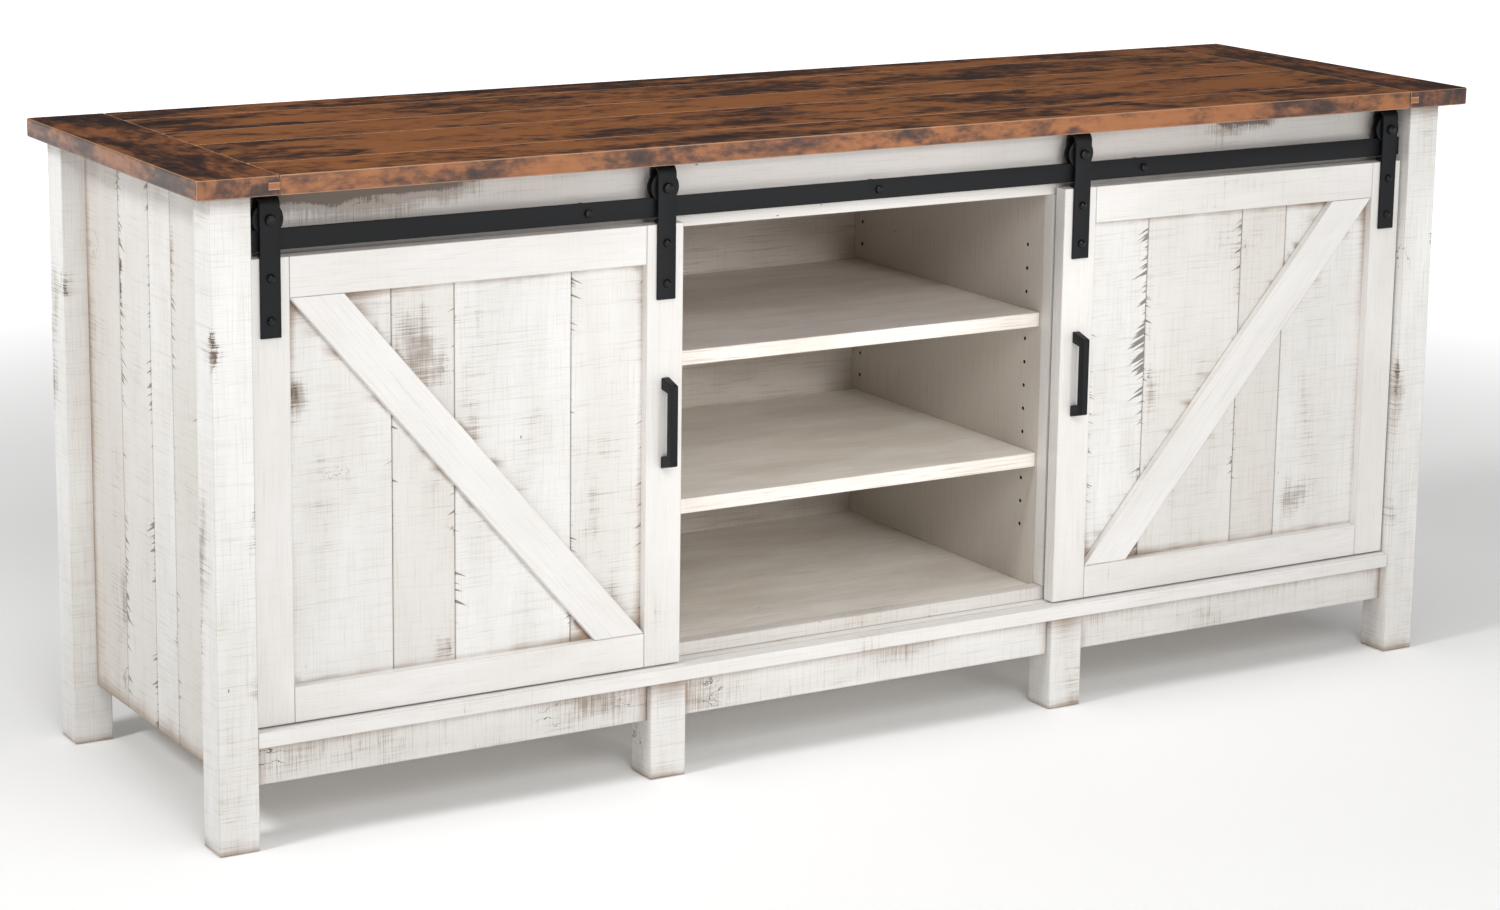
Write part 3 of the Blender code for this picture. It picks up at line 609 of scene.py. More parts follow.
side_joints = (-0.140, -0.052, 0.018, 0.118)
for count, node in enumerate(("side_left", "side_right")):
    low, high = limits(node)
    edges = [low[1], *side_joints, high[1]]
    boards = []
    for number in range(5):
        a, b = low.copy(), high.copy()
        a[1], b[1] = edges[number] + 0.0004, edges[number + 1] - 0.0004
        corners = (1, low[1] + 0.008, 0.012), (1, high[1] - 0.008, 0.012)
        # glaze and painted shade: darker under the top, at the bottom and by the posts
        glaze = falling((2, high[2], 0.03), (2, low[2], 0.02), *corners)
        tone = (0.0, 0.5, 0.1, 0.35, 0.6)[number]
        torn = (-0.6, 0.7, -0.6, 1.0, -0.3)[number]
        marks = ((a[0], b[1], 0.70 - 0.02 * number), (0.05, 0.022, 0.05), (0.6, 1.6, 0.3, 1.3, 0.5)[number])
        low_mark = ((a[0], a[1], 0.22), (0.05, 0.02, 0.05), (0.9, 0.2, 1.2, 0.4, 1.8)[number])
        seed = 71.0 + 7.0 * count + number
        worn = spots(0.1, marks, low_mark)
        board = block(a, b, 2, seed, radius=0.0011, tone=tone, worn=worn, torn=torn, glaze=glaze, step=0.015)
        boards.append(board)
    settle(assemble(node + "_boards", boards, PAINT_ROUGH), "cabinet", "painted_wood", node)
print("posts, legs and sides done")

# %% [markdown]
# ## Carcass
#
# The face frame is smooth and crisp. The aprons and the back are rough sawn.
# The ledge has a shallow groove that the doors' guide pins run in, made here
# as two strips with a lower one between them.

# %% Carcass
case = {
    "frame_header": (0, PAINT_SMOOTH, "painted_wood", dict(tone=0.15)),
    "frame_sill": (0, PAINT_ROUGH, "painted_wood", dict(worn=0.4, tone=0.4)),
    "frame_stile_left": (2, PAINT_SMOOTH, "painted_wood", dict(worn=0.0)),
    "frame_stile_right": (2, PAINT_SMOOTH, "painted_wood", dict(worn=0.0)),
    "apron_left": (0, PAINT_ROUGH, "painted_wood", dict(worn=0.7, tone=0.2)),
    "apron_centre": (0, PAINT_ROUGH, "painted_wood", dict(worn=0.6, tone=0.1)),
    "apron_right": (0, PAINT_ROUGH, "painted_wood", dict(worn=0.5, tone=0.2)),
    "floor_panel": (0, PAINT_INSIDE_BRIGHTENED, "painted_inside", dict(worn=-1.0)),
    "shelf_lower": (0, PAINT_INSIDE_BRIGHTENED, "painted_inside", dict(worn=-1.0)),
    "shelf_upper": (0, PAINT_INSIDE_BRIGHTENED, "painted_inside", dict(worn=-1.0)),
    "shelf_left": (0, PAINT_INSIDE_BRIGHTENED, "painted_inside", dict(worn=-1.0)),
    "shelf_right": (0, PAINT_INSIDE_BRIGHTENED, "painted_inside", dict(worn=-1.0)),
}


def brushed(place):
    """Dark dry-brush strokes under the top: two patches of heavy wear."""
    left = np.exp(-(((place[:, 0] + 0.70) / 0.15) ** 4))
    right = 0.7 * np.exp(-(((place[:, 0] - 0.60) / 0.06) ** 4))
    top = place[:, 2].max()
    return -0.3 + 9.0 * np.maximum(left, right) * np.exp(-(top - place[:, 2]) / 0.026)


for count, (node, (axis, material, slot, look)) in enumerate(case.items()):
    low, high = limits(node)
    glaze = None
    if node == "frame_header":
        # glaze and painted shade just under the top
        glaze = falling((2, high[2], 0.010))
        look["worn"] = brushed
    if node.startswith("apron"):
        # glaze and painted shade under the ledge and at both ends
        glaze = falling((2, high[2], 0.010), (0, low[0], 0.012), (0, high[0], 0.012))
    board = block(low, high, axis, 91.0 + 1.9 * count, radius=0.0009, glaze=glaze, step=0.02, **look)
    settle(assemble(node + "_wood", [board], material), "cabinet", slot, node)

low, high = limits("back_panel")
sheet = block(low, high, 0, 131.0, radius=0.0005, tone=0.2, worn=-0.4, step=0.12)
settle(assemble("back_sheet", [sheet], PAINT_BACK), "cabinet", "painted_inside", "back_panel")

low, high = limits("ledge")
guide_y = -0.229
strips = []
for start, end, top, seed in (
    (low[1], guide_y - 0.0012, high[2], 141.0),
    (guide_y + 0.0012, high[1], high[2], 142.0),
    (guide_y - 0.004, guide_y + 0.004, high[2] - 0.004, 143.0),
):
    a, b = np.array([low[0], start, low[2] + 0.0002]), np.array([high[0], end, top])
    strips.append(block(a, b, 0, seed, radius=0.0008, worn=0.1, tone=0.0))
settle(assemble("ledge_wood", strips, PAINT_SMOOTH), "cabinet", "painted_wood", "ledge")
print("carcass done")


# %% [markdown]
# ## Doors
#
# Each door is a mortised frame round a panel of four upright boards, with one
# brace from the top outer corner to the bottom inner corner. Brown glaze and
# painted shade lie along the frame's inner edge and both sides of the brace:
# the glaze because a cloth leaves it there when the rest is wiped off, the
# shade for the corners they make with the panel.


# %% Doors
def sheared(part, start, along, across, length, width):
    """Lean a straight board over into the slanted brace.

    The board lies along X from 0 to its length and up Z from 0 to its width;
    a point goes to start + x / length * along + z / width * across, and keeps
    its Y. Normals are turned the same way.
    """
    place, normal = part["place"], part["normal"]
    moved = start + place[:, 0:1] / length * along + place[:, 2:3] / width * across
    moved[:, 1] = place[:, 1]
    run = along / np.linalg.norm(along)
    rise = np.cross(run, (0.0, 1.0, 0.0))
    rise = rise if rise[2] > 0 else -rise
    turned = normal[:, 0:1] * run + normal[:, 2:3] * rise
    turned[:, 1] = normal[:, 1]
    flip = np.linalg.det(np.array([along / length, (0.0, 1.0, 0.0), across / width])) < 0
    faces = part["faces"][:, ::-1] if flip else part["faces"]
    return {**part, "place": moved, "normal": turned, "faces": faces}


brace_foot = 0.069
door_joints = {"left": (-0.6775, -0.595, -0.4375), "right": (0.4349, 0.5935, 0.6695)}
for count, (door, end) in enumerate((("left", -1.0), ("right", 1.0))):
    body = door + "_door"
    outer, inner = limits(door + "_stile_outer"), limits(door + "_stile_inner")
    top, bottom = limits(door + "_rail_top"), limits(door + "_rail_bottom")
    x_outer = outer[1][0] if end < 0 else outer[0][0]
    x_inner = inner[0][0] if end < 0 else inner[1][0]
    z_low, z_high = bottom[1][2], top[0][2]
    x_low, x_high = min(x_outer, x_inner), max(x_outer, x_inner)
    for number, (label, box) in enumerate((("stile_outer", outer), ("stile_inner", inner))):
        node = f"{door}_{label}"
        board = block(box[0], box[1], 2, 151.0 + 9.0 * count + number, radius=0.0012, tone=0.1, worn=-0.3)
        settle(assemble(node + "_wood", [board], PAINT_SMOOTH), body, "painted_wood", node)
    for number, (label, box) in enumerate((("rail_top", top), ("rail_bottom", bottom))):
        node = f"{door}_{label}"
        low, high = box[0].copy(), box[1].copy()
        low[0], high[0] = x_low + 0.0003, x_high - 0.0003
        board = block(low, high, 0, 155.0 + 9.0 * count + number, radius=0.0010, tone=0.05, worn=-0.3)
        settle(assemble(node + "_wood", [board], PAINT_SMOOTH), body, "painted_wood", node)

    # the brace, drawn level and then leaned over
    box = limits(door + "_brace")
    start = np.array([x_outer - end * 0.0003, 0.0, z_high - 0.0003])
    finish = np.array([x_inner + end * 0.0003, 0.0, z_low + 0.0003])
    across = np.array([-end * brace_foot, 0.0, 0.0])
    along = finish - across - start
    length = float(np.linalg.norm(along))
    width = brace_foot * abs(along[2]) / length
    level = block((0.0, box[0][1], 0.0), (length, box[1][1], width), 0, 161.0 + count, radius=0.0010, worn=-0.3)
    brace = sheared(level, start, along, across, length, width)
    settle(assemble(door + "_brace_wood", [brace], PAINT_SMOOTH), body, "painted_wood", door + "_brace")

    # the panel's boards, with glaze and painted shade by the frame and by the brace
    direction = along / length
    off = np.array([direction[2], 0.0, -direction[0]])

    # glaze and painted shade: darkest near the frame's inner edge and the brace, and in the corners between them
    def corner_glaze_and_shade(place, low_x=x_low, high_x=x_high, low_z=z_low, high_z=z_high):
        by_frame = np.minimum.reduce(
            [place[:, 0] - low_x, high_x - place[:, 0], place[:, 2] - low_z, high_z - place[:, 2]]
        )
        across_brace = (place - start) @ off
        first = np.abs(across_brace)
        second = np.abs(across_brace - across @ off)
        near = np.minimum(np.abs(by_frame), np.minimum(first, second))
        both = np.exp(-np.abs(by_frame) / 0.035) * np.exp(-np.minimum(first, second) / 0.035)
        return 0.95 * np.exp(-near / 0.0026) + 0.85 * both

    low, high = limits(door + "_panel")
    edges = [low[0], *door_joints[door], high[0]]
    marks = (
        ((0.38, 0.83), (0.050, 0.060), 2.6),
        ((0.03, 0.73), (0.020, 0.035), 3.2),
        ((0.43, 0.05), (0.014, 0.022), 3.0),
        ((0.87, 0.10), (0.030, 0.030), 1.6),
        ((0.10, 0.30), (0.050, 0.080), 0.5),
    )
    if end > 0:
        marks = (
            ((0.28, 0.17), (0.022, 0.050), 2.2),
            ((0.76, 0.12), (0.024, 0.040), 2.6),
            ((0.24, 0.62), (0.012, 0.120), 2.0),
            ((0.06, 0.08), (0.040, 0.030), 1.4),
            ((0.55, 0.85), (0.050, 0.040), 1.0),
        )
    span = high - low
    placed = [
        ((low[0] + u * span[0], low[1], low[2] + v * span[2]), (wide, 1.0, tall), height)
        for (u, v), (wide, tall), height in marks
    ]
    wear = spots(0.1, *placed)
    boards = []
    for number in range(4):
        a, b = low.copy(), high.copy()
        a[0], b[0] = edges[number] + 0.0003, edges[number + 1] - 0.0003
        torn = ((-1.0, -0.3, 0.3, 0.9), (1.5, 0.2, -0.8, -0.2))[count][number]
        tone = ((0.1, 0.35, 0.0, 0.2), (0.0, 0.3, 0.5, 0.1))[count][number]
        seed = 171.0 + 11.0 * count + 2.3 * number
        board = block(a, b, 2, seed, radius=0.001, tone=tone, worn=wear, torn=torn, glaze=corner_glaze_and_shade, step=0.012)
        boards.append(board)
    settle(assemble(door + "_panel_boards", boards, PAINT_ROUGH), body, "painted_wood", door + "_panel")
print("doors done")

# %% [markdown]
# ## Dividers with shelf-pin holes
#
# The dividers have two columns of 5 mm holes, 32 mm apart, so that a shelf
# can be moved. The holes are cut for real, and the distances are worked out
# again afterwards for the new points. The pins in use are hidden: each shelf
# end has a slot that drops over them.


# %% Turned shapes
def turned(profile, centre, axis=1, sides=48):
    """Turn an outline about a line and give back points and quads.

    A profile entry (r, h) at angle t becomes (r cos t, h, r sin t), with h
    along the chosen axis.
    """
    profile = np.array(profile, float)
    angle = np.linspace(0.0, 2.0 * math.pi, sides, endpoint=False)
    ring = np.zeros((len(profile), sides, 3))
    b, c = (axis + 1) % 3, (axis + 2) % 3
    ring[..., axis] = profile[:, 1:2]
    ring[..., b] = profile[:, 0:1] * np.cos(angle)
    ring[..., c] = profile[:, 0:1] * np.sin(angle)
    number = np.arange(len(profile) * sides).reshape(len(profile), sides)
    after = np.roll(number, -1, axis=1)
    rows = len(profile) if profile[0, 0] > 0 and np.allclose(profile[0], profile[-1]) else len(profile) - 1
    quads = np.stack([number[:-1], after[:-1], after[1:], number[1:]], -1)[:rows].reshape(-1, 4)
    return ring.reshape(-1, 3) + np.array(centre), quads


def gather(name, shapes, material, angle=35.0):
    """Join points-and-faces shapes into one clean, smooth-shaded mesh."""
    starts = np.cumsum([0] + [len(points) for points, faces in shapes[:-1]])
    points = np.concatenate([points for points, faces in shapes])
    faces = [tuple(int(i) + int(start) for i in face) for (p, f), start in zip(shapes, starts) for face in f]
    mesh = bpy.data.meshes.new(name)
    mesh.from_pydata(points.tolist(), [], faces)
    tidy = bmesh.new()
    tidy.from_mesh(mesh)
    bmesh.ops.remove_doubles(tidy, verts=tidy.verts, dist=0.000005)
    bmesh.ops.recalc_face_normals(tidy, faces=tidy.faces)
    tidy.to_mesh(mesh)
    tidy.free()
    mesh.shade_smooth()
    mesh.set_sharp_from_angle(angle=math.radians(angle))
    mesh.materials.append(material)
    piece = bpy.data.objects.new(name, mesh)
    scene.collection.objects.link(piece)
    return piece


# %% [markdown]
# Each divider starts as a plain board. A Boolean takes the holes out of it,
# and its evaluated mesh is kept, so nothing is left live. The drill has an
# extra ring just below the surface, so that the painted shade inside a hole
# stays in it.

# %% Dividers
TOP_HOLE, HOLE_PITCH, HOLE_RADIUS, HOLE_DEPTH = 0.6211, 0.032, 0.0026, 0.011
LIP = 0.0004
pin_rows = TOP_HOLE - HOLE_PITCH * np.arange(13)
pin_columns = (-0.157, 0.250)
for count, (node, end) in enumerate((("divider_left", -1.0), ("divider_right", 1.0))):
    low, high = limits(node)
    # tone 1.0 darkens the dividers towards cfc8bf: painted shade on their faces inside the bay
    plain = block(low, high, 2, 201.0 + count, radius=0.0006, tone=1.0, worn=-1.0)
    blank = assemble("blank", [plain], PAINT_INSIDE_BRIGHTENED)
    face = high[0] if end < 0 else low[0]
    drill = [(0.0, -HOLE_DEPTH), (HOLE_RADIUS, -HOLE_DEPTH), (HOLE_RADIUS, -LIP), (HOLE_RADIUS, 0.003), (0.0, 0.003)]
    outline = [(r, h * -end) for r, h in drill]
    drills = [turned(outline, (face, y, z), 0, 14) for y in pin_columns for z in pin_rows]
    cutter = gather("drills", drills, PAINT_INSIDE_BRIGHTENED)
    cut = blank.modifiers.new("holes", "BOOLEAN")
    cut.operation, cut.solver, cut.object = "DIFFERENCE", "EXACT", cutter
    made = bpy.data.meshes.new_from_object(blank.evaluated_get(bpy.context.evaluated_depsgraph_get()))
    bpy.data.objects.remove(blank, do_unlink=True)
    bpy.data.objects.remove(cutter, do_unlink=True)
    made.name = node + "_wood"
    place = np.zeros(len(made.vertices) * 3)
    made.vertices.foreach_get("co", place)
    place = place.reshape(-1, 3)
    inward = np.abs(place[:, 0] - face)
    clear = np.minimum(place[:, 1:] - low[1:], high[1:] - place[:, 1:]).min(axis=1) > 0.004
    hole = (inward > 0.0003) & (inward < 0.0125) & clear
    made.attributes["grain"].data.foreach_set(
        "vector", (np.stack([place[:, 2], place[:, 0], place[:, 1]], -1) + 5.3 * count).ravel()
    )
    made.attributes["side"].data.foreach_set("value", np.minimum(place[:, 1] - low[1], high[1] - place[:, 1]))
    # the value 3 inside the holes paints them near black: painted shade over their bare wood
    made.attributes["glaze"].data.foreach_set("value", np.where(hole, 3.0, 0.0))
    # tone 1.0 again: painted shade on the dividers
    for label, value in (("tone", 1.0), ("worn", -1.0), ("torn", -3.0)):
        made.attributes[label].data.foreach_set("value", np.full(len(place), value))
    if "custom_normal" in made.attributes:
        made.attributes.remove(made.attributes["custom_normal"])
    made.shade_flat()
    piece = bpy.data.objects.new(node + "_wood", made)
    scene.collection.objects.link(piece)
    settle(piece, "cabinet", "painted_inside", node)

print("dividers drilled:", 2 * len(pin_rows), "holes each")


# %% [markdown]
# ## Barn-door hardware
#
# A flat bar stands off the header on five bolts. Each door hangs from two
# straps bent over grooved wheels that roll on the bar's top edge. A strap is
# a rounded bar section swept along its bent centre line.


# %% Swept and bevelled shapes
def swept_strap(x, path, width, thickness, corner):
    """Sweep a rounded rectangle along a path in the YZ plane.

    The section's point (u, v) lands at path + v * n with X = x + u, where n
    is the path's tangent turned a quarter turn.
    """
    path = np.array(path, float)
    tangent = np.gradient(path, axis=0)
    tangent /= np.linalg.norm(tangent, axis=1, keepdims=True)
    normal = np.stack([-tangent[:, 1], tangent[:, 0]], -1)
    turn = np.linspace(0.0, 2.0 * math.pi, 16, endpoint=False) + math.pi / 16.0
    u = (width / 2.0 - corner) * np.sign(np.cos(turn)) + corner * np.cos(turn)
    v = (thickness / 2.0 - corner) * np.sign(np.sin(turn)) + corner * np.sin(turn)
    points = np.zeros((len(path), 16, 3))
    points[..., 0] = x + u
    points[..., 1:] = path[:, None, :] + v[None, :, None] * normal[:, None, :]
    number = np.arange(len(path) * 16).reshape(len(path), 16)
    after = np.roll(number, -1, axis=1)
    quads = np.stack([number[:-1], number[1:], after[1:], after[:-1]], -1).reshape(-1, 4).tolist()
    ends = [number[0].tolist(), number[-1][::-1].tolist()]
    return points.reshape(-1, 3), quads + ends


def swept_bar(low, high, corner):
    """A straight bar along X with its long corners rounded."""
    middle = (np.array(low) + np.array(high)) / 2.0
    turn = np.linspace(0.0, 2.0 * math.pi, 24, endpoint=False) + math.pi / 24.0
    half_y, half_z = (high[1] - low[1]) / 2.0 - corner, (high[2] - low[2]) / 2.0 - corner
    y = half_y * np.sign(np.cos(turn)) + corner * np.cos(turn)
    z = half_z * np.sign(np.sin(turn)) + corner * np.sin(turn)
    places = np.array([low[0], low[0] + corner, high[0] - corner, high[0]])
    scale = np.array([1.0 - corner / (high[2] - low[2]), 1.0, 1.0, 1.0 - corner / (high[2] - low[2])])
    points = np.zeros((4, 24, 3))
    points[..., 0] = places[:, None]
    points[..., 1] = middle[1] + y[None, :] * scale[:, None]
    points[..., 2] = middle[2] + z[None, :] * scale[:, None]
    number = np.arange(96).reshape(4, 24)
    after = np.roll(number, -1, axis=1)
    quads = np.stack([number[:-1], after[:-1], after[1:], number[1:]], -1).reshape(-1, 4).tolist()
    return points.reshape(-1, 3), quads + [number[0].tolist(), number[-1][::-1].tolist()]


def shifted(profile, start, direction=1.0):
    """Move a turned outline along its axis, and flip it if direction is -1."""
    return [(radius, start + direction * along) for radius, along in profile]


def socket_shade(centre, y, across, depth):
    """The painted shade of a socket head's hexagon recess, as a shallow six-sided cup."""
    wall = [(0.0, y + depth), (across / 1.732, y + depth), (across / 1.732, y), (across / 1.5, y - 0.0001)]
    return turned(wall, centre, 1, 6)


# %% [markdown]
# The track is one flat bar. Round heads sit on its face, and stand-offs
# behind it hold it 16 mm clear of the header, which leaves room for the
# wheels. Each head has a hexagon socket, whose dark is painted shade on a
# shallow cup.

# %% Track and its bolts
low, high = limits("track")
bar_front, bar_back = -0.2338, -0.2288
bolt_z, bolt_places = 0.7272, (-0.836, -0.418, 0.0, 0.418, 0.836)
SOCKET_DEPTH = 0.0002
bar = swept_bar((low[0], bar_front, low[2]), (high[0], bar_back, high[2]), 0.0006)
head = [(0.0, -0.0040), (0.0036, -0.0040), (0.0046, -0.0037), (0.0052, -0.0028), (0.0052, 0.0), (0.0, 0.0)]
washer = [(0.0, 0.0), (0.0055, 0.0), (0.0055, 0.010), (0.0098, 0.010)]
washer += [(0.0105, 0.0107), (0.0105, 0.016), (0.0, 0.016)]
shapes, heads, socket_shades = [bar], [], []
for x in bolt_places:
    heads.append(turned(shifted(head, bar_front), (x, 0.0, bolt_z)))
    shapes.append(turned(shifted(washer, bar_back), (x, 0.0, bolt_z)))
    # painted shade in each bolt's hexagon socket
    socket_shades.append(socket_shade((x, 0.0, bolt_z), bar_front - 0.0041, 0.0034, SOCKET_DEPTH))
settle(gather("track_bar", shapes, BLACK), "cabinet", "black_metal", "track")
settle(gather("track_bolt_heads", heads, OXIDE), "cabinet", "black_metal")
settle(gather("track_socket_shades", socket_shades, SOCKET_SHADE), "cabinet", "black_metal")

# %% [markdown]
# A hanger's strap rises from the door, bends over the wheel and comes down
# again behind it. The wheel is an outline turned about its axle, with a
# groove that sits on the bar. A disc on the door's top edge stops it from
# lifting off the track.

# %% Hangers, wheels and axles
STRAP_WIDTH, STRAP_THICK, STRAP_FACE = 0.0254, 0.0037, 0.0117
BEND_HEIGHT, SCREW_HEIGHTS = 0.769, (0.634, 0.6845)
bend = np.linspace(math.pi, 0.0, 25)
dome = [(0.0, -0.0045), (0.0022, -0.0043), (0.0038, -0.0036)]
dome += [(0.0050, -0.0022), (0.0055, -0.0006), (0.0055, 0.0002)]
axle_head = [(0.0, -0.0047), (0.0050, -0.0047), (0.0060, -0.0043), (0.0065, -0.0034), (0.0065, 0.0), (0.0, 0.0)]
nut = [(0.0, 0.0), (0.0065, 0.0), (0.0065, 0.0034), (0.0058, 0.0040), (0.0, 0.0040)]
tyre = [(0.0041, -0.0060), (0.0090, -0.0060), (0.0096, -0.0056), (0.0150, -0.0056), (0.0156, -0.0060)]
tyre += [(0.0186, -0.0060), (0.0193, -0.0056), (0.0195, -0.0050), (0.0195, -0.0042), (0.0192, -0.0038)]
tyre += [(0.0126, -0.0032), (0.0124, -0.0029), (0.0124, 0.0029), (0.0126, 0.0032), (0.0192, 0.0038)]
tyre += [(0.0195, 0.0042), (0.0195, 0.0050), (0.0193, 0.0056), (0.0186, 0.0060), (0.0041, 0.0060), (0.0041, -0.0060)]
for door in ("left", "right"):
    for position in ("inner", "outer"):
        name = f"{door}_{position}"
        low, high = limits(name + "_hanger")
        x = (low[0] + high[0]) / 2.0
        wheel_low, wheel_high = limits(name + "_wheel")
        y, z = (wheel_low[1] + wheel_high[1]) / 2.0, (wheel_low[2] + wheel_high[2]) / 2.0
        radius = STRAP_FACE - STRAP_THICK / 2.0
        front = [(y - radius, level) for level in (low[2], low[2] + 0.0004, 0.65, 0.70, 0.74, 0.76)]
        arch = [(y + radius * math.cos(a), BEND_HEIGHT + radius * math.sin(a)) for a in bend]
        back = [(y + radius, level) for level in (0.76, 0.75, 0.744)]
        shapes = [swept_strap(x, front + arch + back, STRAP_WIDTH, STRAP_THICK, 0.0007)]
        face = y - STRAP_FACE
        # painted shade in the axle's and the screws' hexagon sockets
        socket_shades = [socket_shade((x, 0.0, z), face - 0.0003 - 0.0048, 0.0040, SOCKET_DEPTH)]
        heads = []
        for level in SCREW_HEIGHTS:
            heads.append(turned(shifted(dome, face), (x, 0.0, level), 1, 32))
            socket_shades.append(socket_shade((x, 0.0, level), face - 0.0045, 0.0028, SOCKET_DEPTH))
        settle(gather(name + "_strap", shapes, BLACK), door + "_door", "black_metal", name + "_hanger")
        settle(gather(name + "_screw_heads", heads, OXIDE), door + "_door", "black_metal")
        settle(gather(name + "_socket_shades", socket_shades, SOCKET_SHADE), door + "_door", "black_metal")
        shank = [(0.0, 0.0), (0.0040, 0.0), (0.0040, 0.0240), (0.0, 0.0240)]
        shapes = [
            turned(shifted(axle_head, face - 0.0003), (x, 0.0, z)),
            turned(shifted(shank, face - 0.0003), (x, 0.0, z), 1, 32),
            turned(shifted(nut, y + 0.0120), (x, 0.0, z), 1, 6),
        ]
        settle(gather(name + "_bolt", shapes, OXIDE), door + "_door", "black_metal", name + "_axle")
        wheel = gather(name + "_tyre", [turned(shifted(tyre, y), (x, 0.0, z), 1, 72)], BLACK, 30.0)
        settle(wheel, name + "_roller", "black_wheel", name + "_wheel")
        stop = [(0.0, 0.0), (0.0082, 0.0), (0.0090, 0.0006), (0.0090, 0.0036), (0.0082, 0.0042), (0.0, 0.0042)]
        stile_low, stile_high = limits(door + "_stile_outer")
        top, mid_y = stile_high[2], (stile_low[1] + stile_high[1]) / 2.0
        disc = gather(name + "_stop", [turned(shifted(stop, top + 0.0001), (x, mid_y, 0.0), 2, 40)], NYLON)
        settle(disc, door + "_door", "black_metal")
print("track, 4 hangers, 4 wheels and 4 stops done")


# %% [markdown]
# ## Door pulls
#
# Each pull is a square bar with two short legs that narrow towards the grip.
# It is drawn as an outline, given width, and bevelled.


# %% Door pulls
def pull(name, node, body):
    """Extrude the pull's side outline across its width and bevel it."""
    low, high = limits(node)
    base, front = high[1] + 0.0001, low[1]
    grip = front + 0.0115
    outline = [
        (base, low[2]),
        (front, low[2] + 0.0065),
        (front, high[2] - 0.0070),
        (base, high[2]),
        (base, high[2] - 0.0150),
        (grip, high[2] - 0.0180),
        (grip, low[2] + 0.0180),
        (base, low[2] + 0.0150),
    ]
    points = [(low[0], y, z) for y, z in outline] + [(high[0], y, z) for y, z in outline]
    count = len(outline)
    sides = [(i, (i + 1) % count, (i + 1) % count + count, i + count) for i in range(count)]
    faces = [tuple(range(count))[::-1], tuple(range(count, 2 * count)), *sides]
    piece = gather(name, [(np.array(points), faces)], BLACK, 50.0)
    narrow = piece.data
    place = np.zeros(len(narrow.vertices) * 3)
    narrow.vertices.foreach_get("co", place)
    place = place.reshape(-1, 3)
    middle = (low[0] + high[0]) / 2.0
    share = 1.0 - 0.18 * (base - place[:, 1]) / (base - front)
    place[:, 0] = middle + (place[:, 0] - middle) * share
    narrow.vertices.foreach_set("co", place.ravel())
    bevel = piece.modifiers.new("eased", "BEVEL")
    bevel.width, bevel.segments, bevel.limit_method = 0.0013, 3, "ANGLE"
    bevel.angle_limit = math.radians(20.0)
    made = bpy.data.meshes.new_from_object(piece.evaluated_get(bpy.context.evaluated_depsgraph_get()))
    piece.modifiers.clear()
    piece.data = made
    made.shade_smooth()
    made.set_sharp_from_angle(angle=math.radians(32.0))
    settle(piece, body, "black_metal", node)


pull("left_pull", "left_handle", "left_door")
pull("right_pull", "right_handle", "right_door")
print("pulls done")

# %% [markdown]
# ## Floor, light and camera
#
# The studio is a pale floor that glows a little towards its far side, as a
# lit paper sweep does. That keeps the background white and still leaves a
# soft shadow under the stand.

# %% Floor
floor_material, tree, shader = new_material("pale_floor")
grainy = add(tree, "TexNoise", {"Vector": add(tree, "TexCoord", output=3), "Scale": 3.0, "Detail": 3.0})
tint = add(tree, "Mix", {0: grainy, 6: linear("fafafa"), 7: linear("f6f6f5")}, **COLOUR)
tree.links.new(tint, shader.inputs["Base Color"])
shader.inputs["Roughness"].default_value = 0.9
far = add(tree, "VectorMath", {0: add(tree, "TexCoord", output=3)}, output=1, operation="LENGTH")
lit = add(
    tree, "MapRange", {"Value": far, "From Min": 1.4, "From Max": 4.5, "To Min": 0.06, "To Max": 1.0}, **EASED
)
shader.inputs["Emission Color"].default_value = (1.0, 1.0, 1.0, 1.0)
tree.links.new(lit, shader.inputs["Emission Strength"])
bpy.ops.mesh.primitive_plane_add(size=60.0, location=(0.0, 0.0, -0.0005))
floor = bpy.context.object
floor.name = "floor"
floor.data.materials.append(floor_material)
floor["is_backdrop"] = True

# %% [markdown]
# One soft lamp at the front left is the key. A smaller one, high on the left,
# draws the top's shadow on the side panel. A low lamp lifts the right door,
# one overhead lights the top, and a narrow spot reaches into the open bay.
# Glossy rays see a darker sky, as they would with black flags round the set,
# so the lacquer and the powder coat keep their depth.

# %% Sky and lamps
world = bpy.data.worlds.new("studio")
scene.world = world
world.use_nodes = True
sky = world.node_tree
background = sky.nodes["Background"]
background.inputs["Color"].default_value = (1.0, 1.0, 1.0, 1.0)
glossy = add(sky, "LightPath", output="Is Glossy Ray")
strength = add(sky, "MapRange", {"Value": glossy, "To Min": 0.28, "To Max": 0.07})
sky.links.new(strength, background.inputs["Strength"])


def lamp(name, place, aim, size, energy):
    """A square area lamp at a place, turned to face a point."""
    light = bpy.data.lights.new(name, "AREA")
    light.shape, light.size, light.energy = "SQUARE", size, energy
    item = bpy.data.objects.new(name, light)
    item.location = place
    item.rotation_mode = "QUATERNION"
    item.rotation_quaternion = (Vector(aim) - Vector(place)).to_track_quat("-Z", "Y")
    item.visible_camera = False
    scene.collection.objects.link(item)
    return item


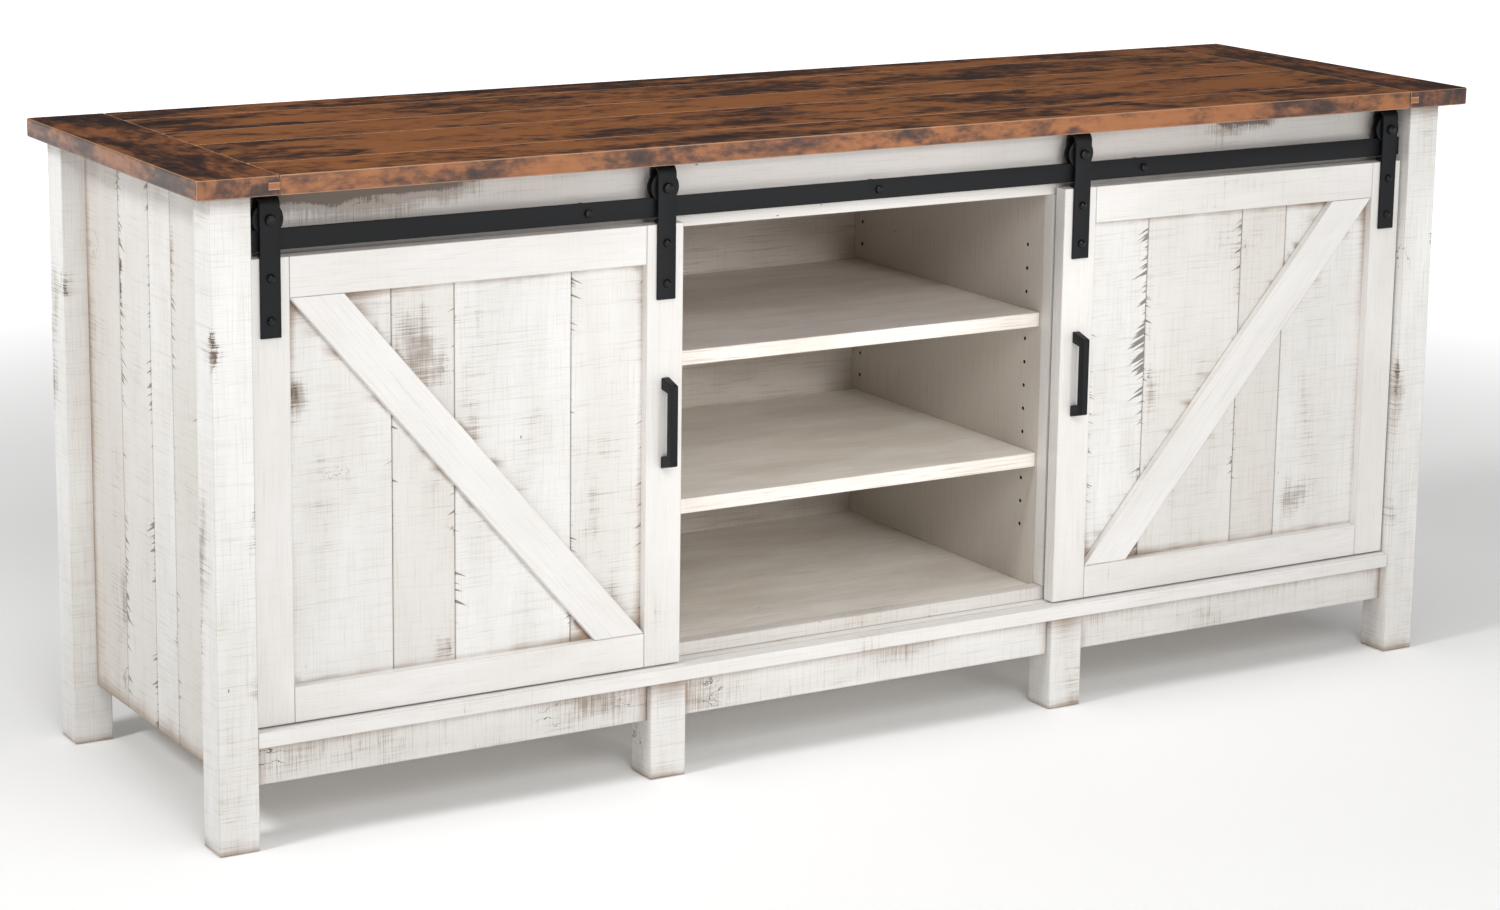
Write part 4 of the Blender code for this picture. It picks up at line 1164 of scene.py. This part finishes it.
lamp("key", (-1.6, -5.0, 3.7), (0.0, 0.0, 0.4), 2.0, 112.0)
lamp("side", (-4.4, -0.8, 3.9), (-0.9, 0.0, 0.4), 0.9, 115.0)
lamp("low", (1.5, -5.8, 1.3), (0.1, 0.0, 0.4), 3.0, 45.0)
lamp("above", (0.2, -1.0, 5.0), (0.0, 0.0, 0.4), 2.6, 52.0)

snoot = bpy.data.lights.new("bay", "SPOT")
snoot.energy, snoot.spot_size, snoot.spot_blend, snoot.shadow_soft_size = 235.0, math.radians(13.0), 0.6, 0.3
bay = bpy.data.objects.new("bay", snoot)
bay.location = (0.5, -4.6, 1.9)
bay.rotation_mode = "QUATERNION"
bay.rotation_quaternion = (Vector((0.0, 0.0, 0.42)) - bay.location).to_track_quat("-Z", "Y")
scene.collection.objects.link(bay)

# %% [markdown]
# The camera is a long lens at standing height, turned towards the left
# front corner. Its axes are written as yaw, pitch and roll.

# %% Camera
yaw, pitch, roll = math.radians(30.977), math.radians(-11.631), math.radians(0.791)
forward = Vector((math.sin(yaw) * math.cos(pitch), math.cos(yaw) * math.cos(pitch), math.sin(pitch)))
level = Vector((math.cos(yaw), -math.sin(yaw), 0.0))
upright = level.cross(forward)
right = math.cos(roll) * level + math.sin(roll) * upright
up = -math.sin(roll) * level + math.cos(roll) * upright
lens = bpy.data.cameras.new("camera")
lens.sensor_width = 36.0
lens.lens = 84.67
lens.shift_y = -0.0767
lens.clip_start, lens.clip_end = 0.05, 200.0
camera = bpy.data.objects.new("camera", lens)
turn = Matrix((right, up, -forward)).transposed().to_4x4()
camera.matrix_world = Matrix.Translation((-2.4124, -3.9400, 1.4395)) @ turn
scene.collection.objects.link(camera)
scene.camera = camera
scene.view_settings.view_transform = "Standard"
scene.view_settings.look = "None"

# %% [markdown]
# Last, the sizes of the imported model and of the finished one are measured,
# so that they can be compared.

# %% Sizes and the finish
low, high = CAD_BOX
visual_low, visual_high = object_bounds()
{"cad": [list(low), list(high)], "visual": [list(visual_low), list(visual_high)]}
print("CAD box", list(low), list(high), "visual box", list(visual_low), list(visual_high))
